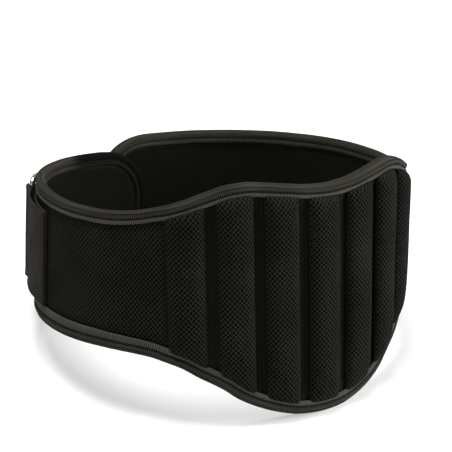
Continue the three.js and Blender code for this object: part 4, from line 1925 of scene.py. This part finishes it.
@dataclass
class WireBuckle:
    """Rectangular wire loop with a thicker free bar and its butt joint."""

    webbing: Webbing
    height: float = 90.0
    bend: float = 7.0
    sides: int = 20
    corner_steps: int = 9
    joint_drop: float = 9.0
    joint_half: float = 0.5
    joint_floor: float = 0.15
    joint_depth: float = 0.55
    end_margin: float = 1.5

    def centre_line(self) -> tuple[np.ndarray, np.ndarray, np.ndarray, np.ndarray]:
        """The wire's centre line and its section's two directions.

        Returns:
            Centres, directions away from the middle, the direction through the loop, and radii.
        """
        w = self.webbing
        loop = w.loop
        hidden = loop.beside(np.array([w.hidden_bar[0]]), np.array([w.hidden_bar[1]]))[0]
        free = loop.beside(np.array([w.free_bar[0]]), np.array([w.free_bar[1]]))[0]
        reach = free - hidden
        half_reach = np.linalg.norm(reach) / 2
        ahead = np.append(reach / (2 * half_reach), 0.0)
        up = np.array([0.0, 0.0, 1.0])
        middle = np.append((free + hidden) / 2, w.form.middle_height)
        half_height = self.height / 2 - w.wire
        long_side, short_side = half_height - self.bend, half_reach - self.bend
        centres, away, radii = [], [], []
        for quarter, (x, y) in enumerate(((1, 1), (-1, 1), (-1, -1), (1, -1))):
            for share in np.linspace(0, 1, self.corner_steps):
                angle = (quarter + share) * math.pi / 2
                outward = ahead * math.cos(angle) + up * math.sin(angle)
                centres.append(middle + ahead * x * short_side + up * y * long_side + outward * self.bend)
                away.append(outward)
                thick = {0: 1 - share, 3: share}.get(quarter, 0.0)
                radii.append(w.wire + (w.free_wire - w.wire) * thick)
        return np.array(centres), np.array(away), np.cross(ahead, up), np.array(radii)

    def make(self, plate: bpy.types.Material) -> None:
        """Sweeps the wire and adds the joint.

        Args:
            plate: The plated wire.
        """
        centres, away, through, radii = self.centre_line()
        top, bottom = centres[0], centres[-1]
        run = np.linalg.norm(bottom - top)
        steps = np.array([self.joint_half, self.joint_floor, -self.joint_floor, -self.joint_half])
        groove = self.joint_drop + steps
        marks = np.concatenate([[run - self.end_margin, run / 2], groove, [self.end_margin]])
        waist = self.joint_depth * (np.abs(marks - self.joint_drop) < self.joint_half - 0.1)
        bar = top + (bottom - top) * (marks / run)[:, None]
        centres = np.vstack([centres, bar])
        away = np.vstack([away, np.repeat(away[:1], len(marks), axis=0)])
        radii = np.append(radii, self.webbing.free_wire - waist)
        turn = np.arange(self.sides) / self.sides * 2 * math.pi
        rings = (centres[:, None, :]
                 + away[:, None, :] * (np.cos(turn)[None, :] * radii[:, None])[..., None]
                 + through[None, None, :] * (np.sin(turn)[None, :] * radii[:, None])[..., None])
        girth = np.arange(self.sides + 1) / self.sides * 2 * math.pi * self.webbing.wire
        work = swept(self.webbing.loop.stand(rings.reshape(-1, 3)).reshape(rings.shape),
                     distance_along(np.vstack([centres, centres[:1]])), girth, True)
        finish_piece(work.object("buckle_wire", 60), plate, Slot.STEEL, "buckle_loop")


@dataclass(frozen=True)
class SoftLamp:
    """A square lamp that faces the belt."""

    name: str
    place: tuple
    side: float
    watts: float

    def hang(self, aim: Vector) -> None:
        """Hangs the lamp.

        Args:
            aim: The point that it faces.
        """
        data = bpy.data.lights.new(self.name, "AREA")
        data.shape = "SQUARE"
        data.size = self.side
        data.energy = self.watts
        lamp = add_object(self.name, data)
        lamp.location = self.place
        lamp.rotation_euler = (aim - Vector(self.place)).to_track_quat("-Z", "Y").to_euler()


@dataclass
class Studio:
    """Pale floor, soft light and a camera at the picture's angle to the belt."""

    azimuth: float = -40.83
    elevation: float = 26.89
    roll: float = 6.81
    distance: float = 2.503
    aim: tuple = (0.0, 0.0, 0.095)
    lens: float = 245.9
    shift: tuple = (0.0069, 0.0003)
    floor_size: float = 30.0
    room_light: float = 0.22
    lamps: tuple = (
        SoftLamp("key_lamp", (2.3, -1.6, 1.1), 1.6, 134),
        SoftLamp("fill_lamp", (-1.9, -0.9, 0.8), 1.2, 1.5),
        SoftLamp("top_lamp", (-0.5, 0.35, 2.5), 1.1, 84),
    )

    def directions(self) -> tuple[Vector, Vector, Vector]:
        """Turns the camera's angles into directions.

        Returns:
            Its right, up and backward directions.
        """
        turn, rise = math.radians(self.azimuth), math.radians(self.elevation)
        back = Vector((math.sin(turn) * math.cos(rise), -math.cos(turn) * math.cos(rise), math.sin(rise)))
        right = Vector((math.cos(turn), math.sin(turn), 0))
        up = back.cross(right)
        roll = math.radians(self.roll)
        return (
            math.cos(roll) * right + math.sin(roll) * up,
            math.cos(roll) * up - math.sin(roll) * right,
            back,
        )

    def make_camera(self) -> None:
        """Sets up the camera."""
        right, up, back = self.directions()
        data = bpy.data.cameras.new("studio_camera")
        data.lens = self.lens
        data.shift_x, data.shift_y = self.shift
        data.clip_start = 0.05
        data.clip_end = 100
        camera = add_object("studio_camera", data)
        turn = Matrix((right, up, back)).transposed().to_4x4()
        camera.matrix_world = Matrix.Translation(Vector(self.aim) + back * self.distance) @ turn
        bpy.context.scene.camera = camera

    def make(self, paper: bpy.types.Material) -> None:
        """Lays the floor and sets camera, lamps and room light.

        Args:
            paper: The floor's material.
        """
        self.make_camera()
        half = self.floor_size / 2
        mesh = bpy.data.meshes.new("studio_floor")
        corners = [(-half, -half, 0), (half, -half, 0), (half, half, 0), (-half, half, 0)]
        mesh.from_pydata(corners, [], [(0, 1, 2, 3)])
        mesh.materials.append(paper)
        add_object("studio_floor", mesh)
        for lamp in self.lamps:
            lamp.hang(Vector(self.aim))
        world = bpy.data.worlds.new("studio_room")
        world.use_nodes = True
        ground = world.node_tree.nodes["Background"]
        ground.inputs["Color"].default_value = rgb(1.0, 1.0, 1.0)
        ground.inputs["Strength"].default_value = self.room_light
        bpy.context.scene.world = world
        bpy.context.scene.view_settings.view_transform = "Standard"
        LOG.info("studio: camera, floor and three lamps")


def main() -> None:
    """Builds the belt's pieces in order, and the studio round them."""
    logging.basicConfig(level=logging.INFO, format="%(name)s: %(message)s")
    Studio().make(FloorFinish().material())
    form = BeltForm()
    loop = FastenedLoop(form)
    mesh_cloth = AirMeshFinish().material()
    body = PaddedBody(form, loop)
    holes = perforation_tree()
    body.make_panel(holes, mesh_cloth)
    for index in range(form.rib_count):
        body.make_rib(index, holes, mesh_cloth)
    body.make_lining(LiningFinish().material())
    binding = EdgeBinding(form, loop)
    binding.make(TapeFinish().material())
    webbing = Webbing(form, loop)
    webbing.make(
        WebbingFinish("strap_webbing").material(),
        WebbingFinish("keeper_webbing", cord_pitch=1.3).material(),
        LabelFinish().material(),
    )
    WireBuckle(webbing).make(WireFinish().material())
    black = ThreadFinish("black_thread", rgb(0.002, 0.002, 0.0018), rgb(0.007, 0.007, 0.006)).material()
    taupe = ThreadFinish("taupe_thread", rgb(0.012, 0.011, 0.009), rgb(0.035, 0.033, 0.027)).material()
    seams = Seams(loop, stitch_tree())
    seams.sew("rib_stitches", body.seam_lines(), black, Slot.AIR_MESH)
    seams.sew("binding_stitches", binding.seam_lines(Side.OUTER), taupe, Slot.BINDING)
    seams.sew("lining_side_stitches", binding.seam_lines(Side.INNER), taupe, Slot.BINDING)
    seams.sew("webbing_stitches", webbing.seam_lines(), black, Slot.WEBBING, tucked=False)
    seams.sew("label_stitches", webbing.label_lines(), black, Slot.LABEL, tucked=False)


if __name__ == "__main__":
    main()
